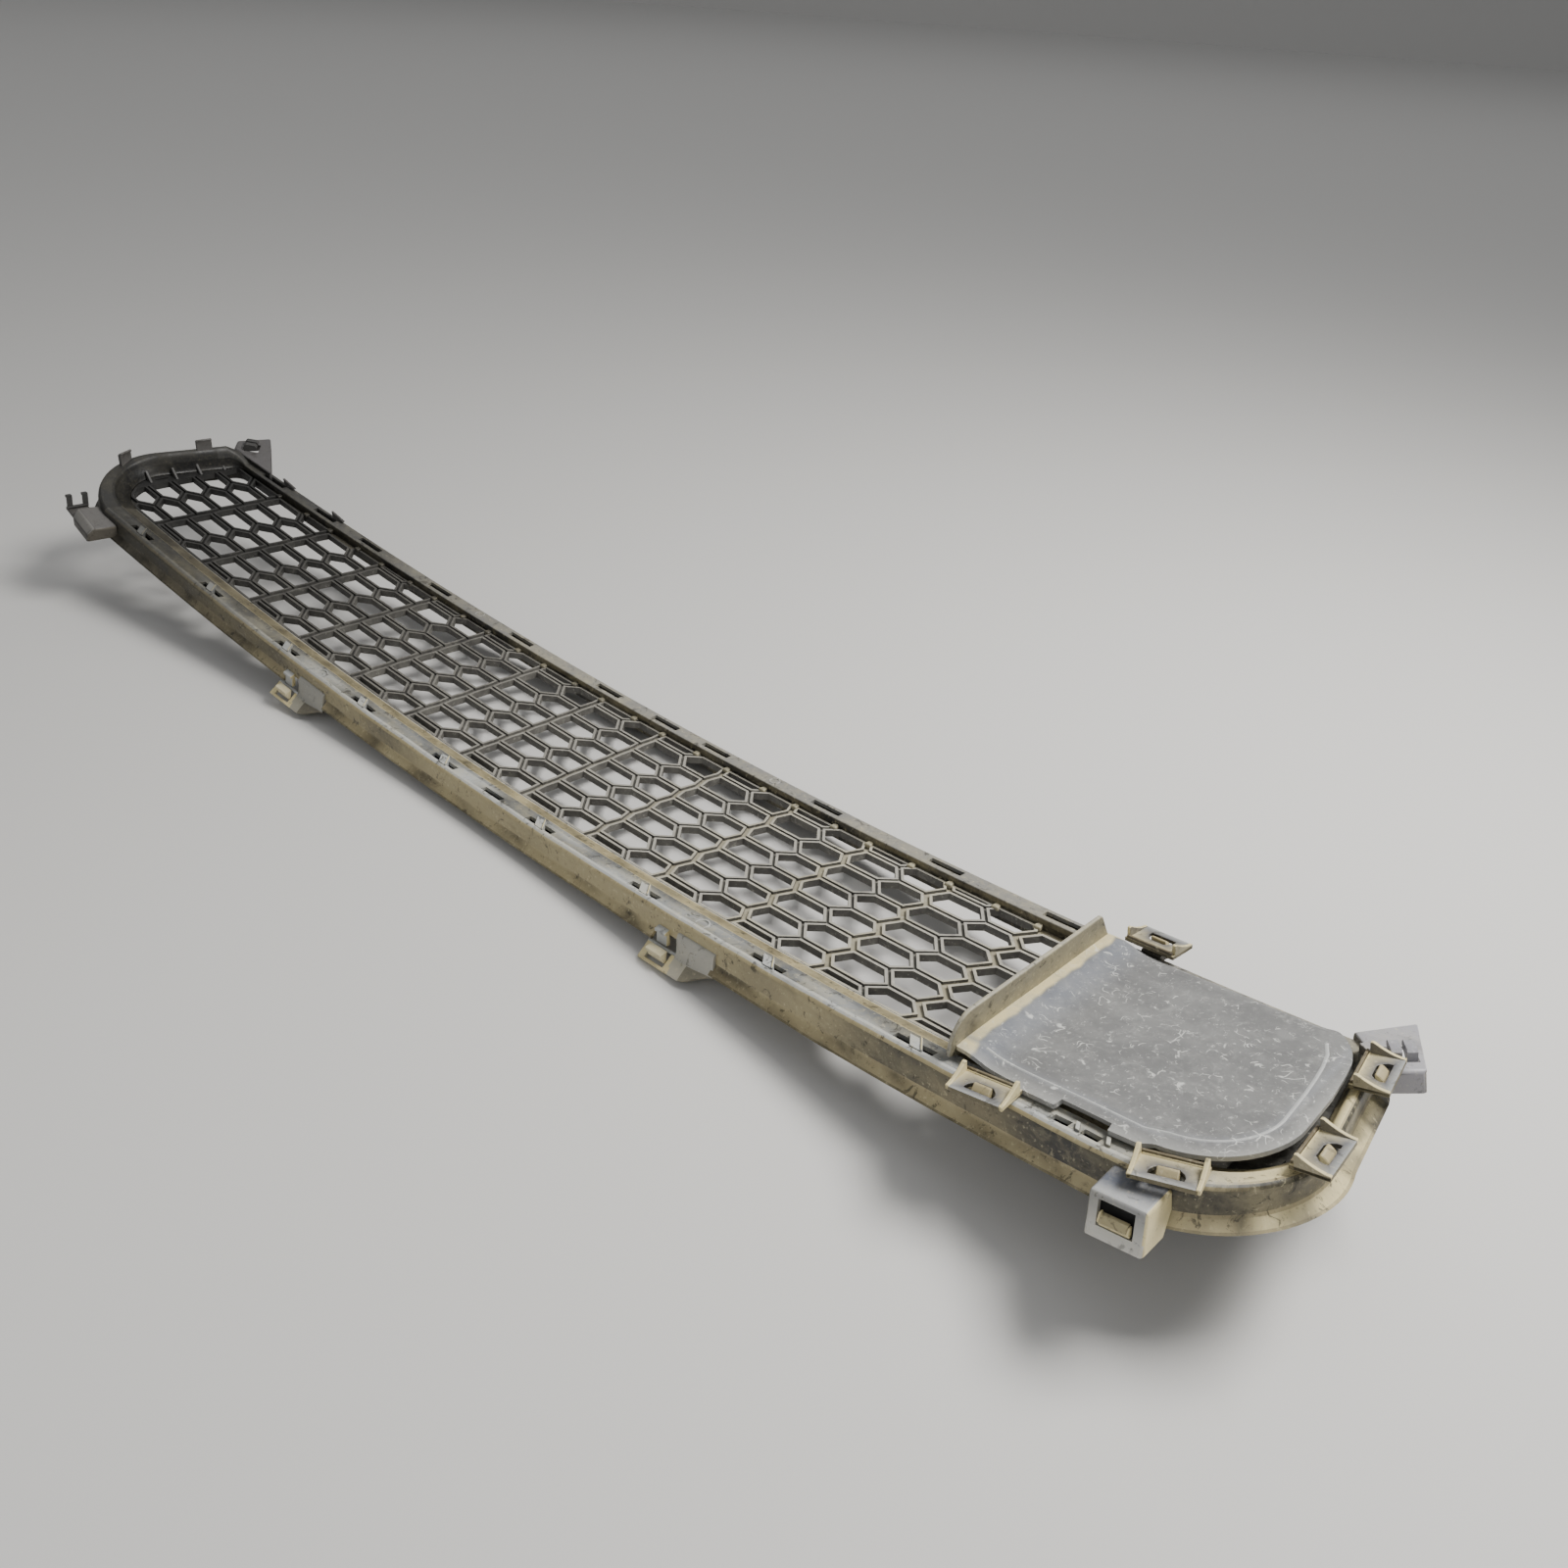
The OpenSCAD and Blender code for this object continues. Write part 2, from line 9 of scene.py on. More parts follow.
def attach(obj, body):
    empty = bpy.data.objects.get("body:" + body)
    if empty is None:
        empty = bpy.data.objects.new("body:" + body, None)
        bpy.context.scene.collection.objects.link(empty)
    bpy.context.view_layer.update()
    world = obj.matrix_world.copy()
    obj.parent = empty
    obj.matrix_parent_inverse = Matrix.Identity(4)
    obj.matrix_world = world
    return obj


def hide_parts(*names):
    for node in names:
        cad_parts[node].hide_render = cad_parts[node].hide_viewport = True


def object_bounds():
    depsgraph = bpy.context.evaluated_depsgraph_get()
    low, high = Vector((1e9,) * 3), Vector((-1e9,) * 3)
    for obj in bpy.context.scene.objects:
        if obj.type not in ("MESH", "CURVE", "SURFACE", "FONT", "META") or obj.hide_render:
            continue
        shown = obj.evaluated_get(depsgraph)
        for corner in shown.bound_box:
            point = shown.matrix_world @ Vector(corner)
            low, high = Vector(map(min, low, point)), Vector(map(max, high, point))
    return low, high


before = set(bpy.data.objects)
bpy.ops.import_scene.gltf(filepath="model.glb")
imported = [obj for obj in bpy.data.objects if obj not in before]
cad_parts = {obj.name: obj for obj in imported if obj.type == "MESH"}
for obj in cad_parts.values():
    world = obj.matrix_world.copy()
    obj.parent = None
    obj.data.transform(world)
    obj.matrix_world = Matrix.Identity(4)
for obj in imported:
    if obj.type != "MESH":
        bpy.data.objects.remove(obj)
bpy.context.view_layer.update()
MM = 0.001
ROOT = "grille"

# ---------------------------------------------------------------- shape of the grille, in mm
BAY, ROW, BAR, CROSS = 65.0, 21.1, 5.0, 6.6
SWEEP = 2200.0
HALF = 62.2           # half height of the opening at its middle
LOWER_BOW = 0.00008   # how the long edges bow, per mm of x squared
UPPER_BOW = 0.000145
LOW_END, UP_END = 478.0, 501.4   # where the long edges run into the end arcs
LOW_ARC, UP_ARC = 38.0, 10.0     # radii of those arcs
DEEP = 4.7
FADED = 0.17          # brightness left at the clean, shaded end


def bend(x):
    return SWEEP - math.sqrt(SWEEP * SWEEP - x * x)


def lower_y(x):
    return -HALF - LOWER_BOW * x * x


def upper_y(x):
    return HALF - UPPER_BOW * x * x


def mix(a, b, t):
    return a + (b - a) * t


def clamp(v, low=0.0, high=1.0):
    return max(low, min(high, v))


def smooth(a, b, v):
    t = clamp((v - a) / (b - a))
    return t * t * (3 - 2 * t)


def area(poly):
    return 0.5 * sum(poly[i - 1][0] * p[1] - p[0] * poly[i - 1][1] for i, p in enumerate(poly))


def srgb(r, g, b):
    def lin(c):
        c /= 255.0
        return c / 12.92 if c <= 0.04045 else ((c + 0.055) / 1.055) ** 2.4
    return (lin(r), lin(g), lin(b))


def blend3(a, b, t):
    return tuple(mix(p, q, t) for p, q in zip(a, b))


# ---------------------------------------------------------------- materials
def node(tree, kind, **values):
    n = tree.nodes.new(kind)
    for k, v in values.items():
        setattr(n, k, v)
    return n


def noise_at(tree, coords, scale, detail=4.0, rough=0.55, distortion=0.0, stretch=None):
    out = coords
    if stretch:
        m = node(tree, "ShaderNodeMapping")
        m.inputs["Scale"].default_value = stretch
        tree.links.new(coords, m.inputs["Vector"])
        out = m.outputs["Vector"]
    n = node(tree, "ShaderNodeTexNoise")
    n.inputs["Scale"].default_value = scale
    n.inputs["Detail"].default_value = detail
    n.inputs["Roughness"].default_value = rough
    n.inputs["Distortion"].default_value = distortion
    tree.links.new(out, n.inputs["Vector"])
    return n.outputs["Fac"]


def ramp(tree, value, low, high, a=0.0, b=1.0):
    m = node(tree, "ShaderNodeMapRange", interpolation_type="SMOOTHSTEP")
    m.inputs["From Min"].default_value = low
    m.inputs["From Max"].default_value = high
    m.inputs["To Min"].default_value = a
    m.inputs["To Max"].default_value = b
    tree.links.new(value, m.inputs["Value"])
    return m.outputs["Result"]


def maths(tree, op, a, b):
    m = node(tree, "ShaderNodeMath", operation=op)
    for i, v in enumerate((a, b)):
        if isinstance(v, (int, float)):
            m.inputs[i].default_value = v
        else:
            tree.links.new(v, m.inputs[i])
    return m.outputs["Value"]


def mixed(tree, fac, a, b):
    m = node(tree, "ShaderNodeMix", data_type="RGBA")
    for s, v in ((m.inputs[0], fac), (m.inputs[6], a), (m.inputs[7], b)):
        if isinstance(v, (int, float)):
            s.default_value = v
        elif isinstance(v, tuple):
            s.default_value = (*v, 1.0)
        else:
            tree.links.new(v, s)
    return m.outputs[2]


def plastic(name, base=None, dust=(0.3, 0.28, 0.23), dirt=(0.03, 0.028, 0.025), dust_amount=0.5,
            dirt_amount=0.35, rough=0.62, grain=0.12, scratches=0.0, up_dust=0.35, speckle=0.25):
    """Moulded plastic with settled dust, dirt in patches, fine grain and, where asked, light scuffs."""
    m = bpy.data.materials.new(name)
    m.use_nodes = True
    t = m.node_tree
    shader = t.nodes["Principled BSDF"]
    coords = node(t, "ShaderNodeTexCoord").outputs["Object"]
    if base is None:
        colour = node(t, "ShaderNodeAttribute", attribute_name="zone").outputs["Color"]
    else:
        colour = base
    broad = noise_at(t, coords, 14.0, 5.0, 0.6, 0.6, (0.6, 1.6, 1.6))
    patch = noise_at(t, coords, 46.0, 6.0, 0.65, 0.3, (0.7, 1.3, 1.3))
    blot = noise_at(t, coords, 150.0, 5.0, 0.7, 0.8)
    along = node(t, "ShaderNodeSeparateXYZ")
    t.links.new(coords, along.inputs[0])
    reach = ramp(t, along.outputs["X"], -0.50, -0.06, 0.12, 1.0)
    fine = noise_at(t, coords, 420.0, 3.0, 0.6)
    up = node(t, "ShaderNodeSeparateXYZ")
    t.links.new(node(t, "ShaderNodeNewGeometry").outputs["Normal"], up.inputs[0])
    settled = ramp(t, up.outputs["Z"], 0.1, 0.95, 0.0, up_dust)
    dusty = maths(t, "MULTIPLY", ramp(t, patch, 0.36, 0.68), dust_amount)
    dusty = maths(t, "ADD", dusty, maths(t, "MULTIPLY", settled, ramp(t, broad, 0.3, 0.7, 0.35, 1.0)))
    dusty = maths(t, "MULTIPLY", dusty, reach)
    colour = mixed(t, dusty, colour, dust)
    caked = maths(t, "MULTIPLY", ramp(t, blot, 0.52, 0.66), maths(t, "MULTIPLY", reach, dust_amount * 0.7))
    colour = mixed(t, caked, colour, dust)
    darkening = maths(t, "MULTIPLY", ramp(t, blot, 0.44, 0.34), dirt_amount * 0.9)
    colour = mixed(t, darkening, colour, dirt)
    dirty = maths(t, "MULTIPLY", ramp(t, broad, 0.56, 0.74), dirt_amount)
    colour = mixed(t, dirty, colour, dirt)
    dots = maths(t, "MULTIPLY", ramp(t, fine, 0.58, 0.72), maths(t, "MULTIPLY", reach, speckle))
    colour = mixed(t, dots, colour, tuple(min(1.0, c * 1.7 + 0.03) for c in dust))
    specks = maths(t, "MULTIPLY", ramp(t, fine, 0.40, 0.28), speckle)
    colour = mixed(t, specks, colour, dirt)
    if scratches:
        # short curved scuffs at two sizes, and rubbed pale clouds
        for size, width, amount in ((150.0, 0.050, 1.0), (310.0, 0.075, 0.7)):
            bent = node(t, "ShaderNodeTexNoise")
            bent.inputs["Scale"].default_value = size * 0.45
            bent.inputs["Detail"].default_value = 2.0
            t.links.new(coords, bent.inputs["Vector"])
            shift = node(t, "ShaderNodeVectorMath", operation="MULTIPLY_ADD")
            shift.inputs[1].default_value = (0.02, 0.02, 0.0)
            t.links.new(bent.outputs["Color"], shift.inputs[0])
            t.links.new(coords, shift.inputs[2])
            cells = node(t, "ShaderNodeTexVoronoi", feature="DISTANCE_TO_EDGE")
            cells.inputs["Scale"].default_value = size
            t.links.new(shift.outputs[0], cells.inputs["Vector"])
            line = ramp(t, cells.outputs["Distance"], width, 0.01)
            sparse = ramp(t, noise_at(t, coords, size * 0.9, 2.0, 0.5), 0.57, 0.66)
            marks = maths(t, "MULTIPLY", maths(t, "MULTIPLY", line, sparse), scratches * amount)
            colour = mixed(t, marks, colour, srgb(222, 222, 216))
        rub = ramp(t, noise_at(t, coords, 90.0, 8.0, 0.72, 0.6), 0.53, 0.70)
        colour = mixed(t, maths(t, "MULTIPLY", rub, scratches * 0.35), colour, srgb(190, 190, 184))
    t.links.new(colour, shader.inputs["Base Color"])
    t.links.new(ramp(t, patch, 0.3, 0.7, rough - 0.10, rough + 0.16), shader.inputs["Roughness"])
    shader.inputs["Specular IOR Level"].default_value = 0.42
    bump = node(t, "ShaderNodeBump")
    bump.inputs["Strength"].default_value = grain
    bump.inputs["Distance"].default_value = 0.0006
    high = maths(t, "ADD", maths(t, "MULTIPLY", noise_at(t, coords, 900.0, 2.0), 0.5),
                 maths(t, "MULTIPLY", patch, 0.9))
    t.links.new(high, bump.inputs["Height"])
    t.links.new(bump.outputs["Normal"], shader.inputs["Normal"])
    return m


KHAKI = srgb(104, 96, 72)
BEIGE = srgb(166, 153, 116)
CREAM = srgb(214, 200, 152)
BAND = srgb(92, 95, 98)
PALE = srgb(176, 178, 176)
DARK = srgb(40, 39, 38)
BLACK = srgb(18, 18, 18)
GREY = srgb(112, 111, 108)

rim_mat = plastic("surround_plastic", dust=srgb(178, 168, 134), dirt=srgb(44, 41, 36), dust_amount=0.30,
                  dirt_amount=0.80, rough=0.48, grain=0.35, up_dust=0.06, speckle=0.30)
mesh_mat = plastic("mesh_plastic", dust=srgb(170, 167, 156), dirt=srgb(44, 42, 40), dust_amount=0.20,
                   dirt_amount=0.30, rough=0.58, grain=0.15, up_dust=0.04, speckle=0.22)
panel_mat = plastic("panel_plastic", dust=srgb(150, 150, 147), dirt=srgb(84, 84, 86), dust_amount=0.30,
                    dirt_amount=0.24, rough=0.50, grain=0.16, scratches=0.62, up_dust=0.0, speckle=0.16)
clip_mat = plastic("clip_plastic", dust=srgb(176, 168, 142), dirt=srgb(52, 48, 42), dust_amount=0.16,
                   dirt_amount=0.55, rough=0.50, grain=0.20, up_dust=0.0, speckle=0.2)
shade_mat = plastic("shaded_plastic", base=srgb(62, 61, 60), dust=srgb(104, 102, 98), dirt=srgb(32, 31, 30),
                    dust_amount=0.4, dirt_amount=0.3, rough=0.6, grain=0.16, up_dust=0.25, speckle=0.2)
shade_black = plastic("slot_shade_plastic", base=srgb(20, 20, 20), dust=srgb(46, 45, 42), dirt=srgb(12, 12, 12),
                      dust_amount=0.25, dirt_amount=0.3, rough=0.7, grain=0.1, up_dust=0.0, speckle=0.1)
ear_mat = plastic("ear_plastic", base=srgb(136, 135, 139), dust=srgb(176, 175, 176), dirt=srgb(60, 58, 58),
                  dust_amount=0.4, dirt_amount=0.4, rough=0.5, grain=0.16, up_dust=0.05, speckle=0.2)
light_mat = plastic("light_tongue_plastic", base=srgb(200, 190, 154), dust=srgb(216, 208, 178),
                    dirt=srgb(96, 86, 66), dust_amount=0.4, dirt_amount=0.4, rough=0.56, grain=0.16,
                    up_dust=0.1, speckle=0.2)


# ---------------------------------------------------------------- mesh helpers
# plates are drawn in X and Y; these stand them up along X, and along Y
turn_yz = Matrix(((0, 0, 1, 0), (1, 0, 0, 0), (0, 1, 0, 0), (0, 0, 0, 1)))
UPRIGHT = Matrix(((1, 0, 0, 0), (0, 0, -1, 0), (0, 1, 0, 0), (0, 0, 0, 1)))


def triangles(loops):
    """All points of the loops, and anticlockwise triangles between the first loop and its holes."""
    flat = [p for loop in loops for p in loop]
    out = []
    for a, b, c in tessellate_polygon([[Vector((p[0], p[1], 0)) for p in loop] for loop in loops]):
        u, v, w = flat[a], flat[b], flat[c]
        if (v[0] - u[0]) * (w[1] - u[1]) - (v[1] - u[1]) * (w[0] - u[0]) < 0:
            b, c = c, b
        out.append([a, b, c])
    return flat, out


class Shape:
    """Collects points in mm, faces, and a colour for each face's corners."""

    def __init__(self):
        self.points, self.faces, self.tints = [], [], []

    def add(self, pts, faces, tint, matrix=None):
        base = len(self.points)
        for p in pts:
            p = Vector(p)
            self.points.append(matrix @ p if matrix else p)
        for i, f in enumerate(faces):
            self.faces.append([base + k for k in f])
            self.tints.append(tint[i] if isinstance(tint, list) else tint)

    def prism(self, outer, holes, low, high, tint, side=None, matrix=None, inside=None):
        """A plate between two heights with an outline and holes, all lists of (x, y)."""
        side = side or tint
        inside = inside or side
        loops = [outer] + list(holes)
        flat, tris = triangles(loops) if holes else (outer, [])
        n = len(flat)
        pts = [(p[0], p[1], low) for p in flat] + [(p[0], p[1], high) for p in flat]
        faces, tints = [], []
        for a, b, c in tris:
            faces += [[a + n, b + n, c + n], [c, b, a]]
            tints += [tint, side]
        if not holes:
            order = list(range(n)) if area(outer) > 0 else list(range(n))[::-1]
            faces += [[i + n for i in order], order[::-1]]
            tints += [tint, side]
        start = 0
        for k, loop in enumerate(loops):
            for i in range(len(loop)):
                a, b = start + i, start + (i + 1) % len(loop)
                if (area(loop) > 0) != (k == 0):
                    a, b = b, a
                faces.append([a, b, b + n, a + n])
                tints.append(inside if k else side)
            start += len(loop)
        self.add(pts, faces, tints, matrix)


def dust_and_shade_along(p):
    """How dusty the grille is along its length, and how far painted shade darkens it: the far end is nearly
    clean and dark.
    """
    return smooth(-500, -40, p[0])


def piece(shape, name, material, body, replaced, merge=0.0, sharp=38, bevel=0.0, thick=0.0,
          segments=2, shade=True, fade=True):
    """Makes the Blender object of a shape, and puts it on its CAD body."""
    mesh = bpy.data.meshes.new(name)
    mesh.from_pydata([p * MM for p in shape.points], [], shape.faces)
    layer = mesh.attributes.new("zone", "FLOAT_COLOR", "CORNER")
    for poly, tint in zip(mesh.polygons, shape.tints):
        for li in poly.loop_indices:
            p = shape.points[mesh.loops[li].vertex_index]
            t = tint(p) if callable(tint) else tint
            if fade:
                # painted shade: colours darken towards the far left end, which also carries less dust
                k = dust_and_shade_along(p)
                light = sum(t) / 3
                dull = tuple(FADED * (0.6 * light + 0.4 * c) for c in t)
                t = blend3(dull, t, k)
            layer.data[li].color = (*t, 1.0)
    bm = bmesh.new()
    bm.from_mesh(mesh)
    if merge:
        bmesh.ops.remove_doubles(bm, verts=bm.verts, dist=merge * MM)
    for f in bm.faces:
        f.smooth = shade
    for e in bm.edges:
        e.smooth = len(e.link_faces) == 2 and e.calc_face_angle(3.0) < math.radians(sharp)
    bm.to_mesh(mesh)
    bm.free()
    obj = bpy.data.objects.new(name, mesh)
    bpy.context.scene.collection.objects.link(obj)
    mesh.materials.append(material)
    if bevel:
        add_bevel(obj, bevel, segments)
    if thick:
        s = obj.modifiers.new("wall", "SOLIDIFY")
        s.thickness = thick * MM
        s.offset = -1.0
    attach(obj, body)
    if replaced:
        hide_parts(*replaced)
    return obj


def add_bevel(obj, width, segments=2, angle=35):
    b = obj.modifiers.new("edges", "BEVEL")
    b.width = width * MM
    b.segments = segments
    b.limit_method = "ANGLE"
    b.angle_limit = math.radians(angle)
    b.harden_normals = False
    return b


def turned(x, y, height, turn):
    """Matrix of something that stands on the bent face at a place, as the CAD puts it."""
    return (Matrix.Translation((x, y, bend(x) + height)) @ Matrix.Rotation(-math.asin(x / SWEEP), 4, "Y")
            @ Matrix.Rotation(math.radians(turn), 4, "Z"))


# ---------------------------------------------------------------- surround
RIM_HEAD = [(0, -9), (0, 0.5), (0.5, 0.95), (1.3, 1.3), (2.2, 1.7), (6, 3.2), (10.4, 4.9), (11.6, 5.6),
            (12.2, 6.9), (12.8, 7.3), (13.6, 7.0), (15, 6.9), (17.9, 7.5), (22.5, 8.2), (24.4, 8.4),
            (25.8, 7.7), (26.9, 6.1), (27.4, 4.2)]
PROFILES = {
    "rim": RIM_HEAD + [(28.2, -6.4), (28.9, -8.1), (31.8, -11.6), (32.5, -12.6)],
    "shallow": RIM_HEAD + [(27.9, -3.0), (28.5, -4.5), (31.8, -7.4), (32.5, -8.3)],
    "low": [(0, -9), (0, 0.5), (0.4, 0.9), (0.8, 1.3), (1.2, 2), (1.7, 3.2), (2.2, 4.4), (2.5, 5.2),
            (2.8, 5.9), (3.2, 6.5), (3.7, 6.9), (4.3, 7.3), (5, 7.5), (6, 7.5), (6.8, 7.2), (7.6, 6.6),
            (8.2, 5.8), (8.7, 4.6), (9.8, -5), (10.6, -7), (16.5, -11.6), (18, -12.6)],
    "tall": [(0, -9), (0, 0.5), (0.4, 1), (0.8, 1.8), (1.1, 3.5), (1.5, 6), (1.9, 8.5), (2.2, 11), (2.6, 13),
             (3, 14.3), (3.6, 15.3), (4.4, 16), (5.2, 16.4), (6.2, 16.3), (7, 15.8), (7.7, 15), (8.2, 13.8),
             (8.7, 12), (9.9, -3), (10.6, -4.6), (14, -8), (15, -9)],
    "rail": [(0, -9), (0, 0.5), (0, 1.5), (0, 2.4), (0, 3.2), (0.05, 3.8), (0.15, 4.4), (0.4, 4.8), (0.8, 5),
             (1.4, 5.05), (2.2, 5.05), (3.3, 5.05), (7.9, 5.05), (9.2, 5), (10.3, 4.9), (11, 4.5),
             (11.3, 3.9), (11.4, 3), (11.9, -5), (12.4, -6.8), (14.8, -10), (15.5, -11)],
}
RIM_SLOTS = [-435, -340, -240, -147, -53, 48, 146, 247, 349]
RAIL_SLOTS = [-470, -405, -348, -262, -165, -66, -5, 46, 150, 250, 335]


def spread(low, high, step, cuts):
    xs = {round(mix(low, high, i / math.ceil((high - low) / step)), 3) for i in
          range(math.ceil((high - low) / step) + 1)}
    xs = {x for x in xs if all(abs(x - c) > 2.5 for c in cuts)} | set(cuts) | {low, high}
    return sorted(xs)


def cut_list(places, half, extra=()):
    out = []
    for x in places:
        out += [x - half, x + half]
    for x, h in extra:
        out += [x - h, x + h]
    return out


RIM_EXTRA = [(-1, 9.5), (433.5, 4.5), (449, 4.5)]
GUSSETS = {"left": -210, "right": 186}
NOTCHES = [(x - 20, x + 28.5) for x in GUSSETS.values()]   # the lip is cut back for the gussets
HALF_SLOT = 12.5
notch_cuts = [((a + b) / 2, (b - a) / 2) for a, b in NOTCHES]
rim_holes = [(x, HALF_SLOT) for x in RIM_SLOTS] + RIM_EXTRA
slot_spans = {"low": [(x - h, x + h) for x, h in rim_holes],
              "up": [(x - HALF_SLOT, x + HALF_SLOT) for x in RAIL_SLOTS]}
# each station: x, y, direction out of the opening, the two profiles and their blend, side
stations = []
for x in spread(-LOW_END, LOW_END, 12, cut_list(RIM_SLOTS, HALF_SLOT, RIM_EXTRA + notch_cuts)):
    s = -2 * LOWER_BOW * x
    n = math.hypot(1, s)
    stations.append((x, lower_y(x), s / n, -1 / n, ("shallow", "rim", clamp((x - 120) / 180)), "low"))
LT = -math.atan(2 * LOWER_BOW * LOW_END)
ET = math.radians(99)
UT = math.pi - math.atan(2 * UPPER_BOW * UP_END)
LC = (LOW_END - LOW_ARC * math.sin(LT), lower_y(LOW_END) + LOW_ARC * math.cos(LT))
UC = (UP_END - UP_ARC * math.sin(UT), upper_y(UP_END) + UP_ARC * math.cos(UT))


def end_path(rim, end):
    out = []
    for i in range(1, 25):
        t = i / 24
        a = mix(LT, ET, t)
        out.append((LC[0] + LOW_ARC * math.sin(a), LC[1] - LOW_ARC * math.cos(a), math.sin(a), -math.cos(a),
                    (rim, end, t), ""))
    for i in range(0, 15):
        t = i / 14
        a = mix(ET, UT, t)
        out.append((UC[0] + UP_ARC * math.sin(a), UC[1] - UP_ARC * math.cos(a), math.sin(a), -math.cos(a),
                    (end, "rail", t), ""))
    # stations on the straight stretch between the two arcs
    p, q = out[23], out[24]
    fill = [(mix(p[0], q[0], k / 6), mix(p[1], q[1], k / 6), p[2], p[3], (rim, end, 1.0), "")
            for k in range(1, 6)]
    return out[:24] + fill + out[24:]


right = end_path("rim", "low")
left = [(-x, y, -ox, oy, k, s) for x, y, ox, oy, k, s in reversed(end_path("shallow", "tall"))]
stations += right
for x in reversed(spread(-UP_END, UP_END, 12, cut_list(RAIL_SLOTS, HALF_SLOT))[1:-1]):
    s = -2 * UPPER_BOW * x
    n = math.hypot(1, s)
    stations.append((x, upper_y(x), -s / n, 1 / n, ("rail", "rail", 0.0), "up"))
stations += left


def section(kind):
    a, b, t = kind
    return [(mix(p[0], q[0], t), mix(p[1], q[1], t)) for p, q in zip(PROFILES[a], PROFILES[b])]


def wander_at(x, y, z):
    return noise.noise(Vector((x, y, z)))


def lumpy(x, y, z, scale, amount):
    return amount * noise.noise(Vector((x, y, z)) * scale)


ring, count = [], len(PROFILES["rim"])
for x, y, ox, oy, kind, side in stations:
    row = []
    for i, (u, h) in enumerate(section(kind)):
        px, py = x + ox * u, y + oy * u
        wave = lumpy(px, py, 0, 0.05, 0.55) if 5 <= i <= 16 and side == "low" else 0.0
        wave += lumpy(px, py, h, 0.22, 0.18) if i > 17 else 0.0
        row.append(Vector((px, py, bend(px) + h + wave)))
    ring.append(row)


def rim_tint(i):
    """Colour of the rim by how far out of the opening it is."""
    table = [BLACK, DARK, PALE, BEIGE, KHAKI, KHAKI, KHAKI, CREAM, CREAM, BAND, BAND, BAND, BAND,
             PALE, PALE, BEIGE, KHAKI, KHAKI, BEIGE, BEIGE, KHAKI]
    base = table[i]

    def tint(p):
        t = base
        if 16 <= i <= 17:
            # painted shade in the valley under the bead: the outer wall turns dark towards the right end and
            # in patches, and darker still towards the far left end
            darkening = smooth(290, 380, p[0]) + 1.1 * wander_at(p[0] * 0.014, 3.1, 0)
            t = blend3(srgb(164, 152, 116), srgb(52, 51, 50), clamp(darkening))
            t = blend3(t, srgb(62, 59, 52), 0.6 * smooth(-60, -420, p[0]))
        if 9 <= i <= 14:
            # painted highlight: a pale sheen along the band, strongest at its middle
            band_sheen = clamp(0.30 + 1.6 * wander_at(p[0] * 0.022, p[1] * 0.09, 7))
            t = blend3(t, PALE, band_sheen * (0.9 if i in (11, 12) else 0.45))
            t = blend3(t, KHAKI, smooth(-120, -420, p[0]) * 0.55)
        if 4 <= i <= 6:
            t = blend3(t, BEIGE, clamp(0.25 + 1.5 * wander_at(p[0] * 0.05, p[1] * 0.1, 2)))
        if i >= 18:
            caked = clamp(0.1 + 1.8 * wander_at(p[0] * 0.045, p[2] * 0.1, 4))
            t = blend3(t, srgb(88, 80, 60), caked)
        return t
    return tint


def rail_tint(i):
    base = [BLACK, BLACK, DARK, DARK, DARK, KHAKI, GREY][i] if i < 7 else srgb(128, 127, 124)
    if i >= 16:
        base = DARK

    def tint(p):
        t = base
        if 2 <= i <= 5:
            t = blend3(DARK, KHAKI, clamp(0.2 + 1.5 * wander_at(p[0] * 0.02, 1.7, 5)))
        return t
    return tint


def end_tint(i):
    table = [BLACK, DARK, KHAKI, BEIGE, BEIGE, BEIGE, BEIGE, CREAM, CREAM, CREAM, CREAM, CREAM, CREAM,
             BEIGE, DARK, BLACK, srgb(92, 86, 68), srgb(104, 97, 76), BEIGE, CREAM, BEIGE]

    def tint(p):
        if i >= 16:
            return blend3(table[i], srgb(62, 58, 48), clamp(0.2 + 2.0 * noise.noise(Vector(p) * 0.07)))
        if 3 <= i <= 5:
            return blend3(table[i], srgb(62, 58, 48), clamp(0.1 + 1.6 * noise.noise(Vector(p) * 0.11)))
        return table[i]
    return tint


def left_tint(i):
    """The free end has a black foot with pockets, and a dark wall and crest."""
    if i < 6:
        return BLACK
    return srgb(66, 65, 64) if i < 11 else srgb(104, 101, 96) if i < 15 else srgb(84, 80, 72)


surround = Shape()
for k in range(len(ring)):
    a, b = ring[k], ring[(k + 1) % len(ring)]
    sa, sb = stations[k], stations[(k + 1) % len(ring)]
    mid = (sa[0] + sb[0]) / 2
    side = sa[5] if sa[5] == sb[5] else ""
    base = len(surround.points)
    surround.points += a + b
    for i in range(count - 1):
        if side == "low" and i == 12 and any(lo < mid < hi for lo, hi in slot_spans["low"]):
            continue
        if side == "low" and i >= 18 and any(lo < mid < hi for lo, hi in NOTCHES):
            continue
        if side == "up" and i == 11 and any(lo < mid < hi for lo, hi in slot_spans["up"]):
            continue
        surround.faces.append([base + i, base + i + 1, base + count + i + 1, base + count + i])
        kind = sa[4]
        if side == "low":
            surround.tints.append(rim_tint(i))
        elif side == "up":
            surround.tints.append(rail_tint(i))
        elif kind[1] == "rail" or kind[0] == "rail":
            surround.tints.append(GREY if mid > 0 or i > 5 else BLACK)
        else:
            t = clamp(kind[2])
            rt, et = rim_tint(i), end_tint(i)
            surround.tints.append((lambda p, rt=rt, t=t, et=et: blend3(rt(p), et(p), smooth(0, 0.5, t)))
                                  if mid > 0 else left_tint(i))
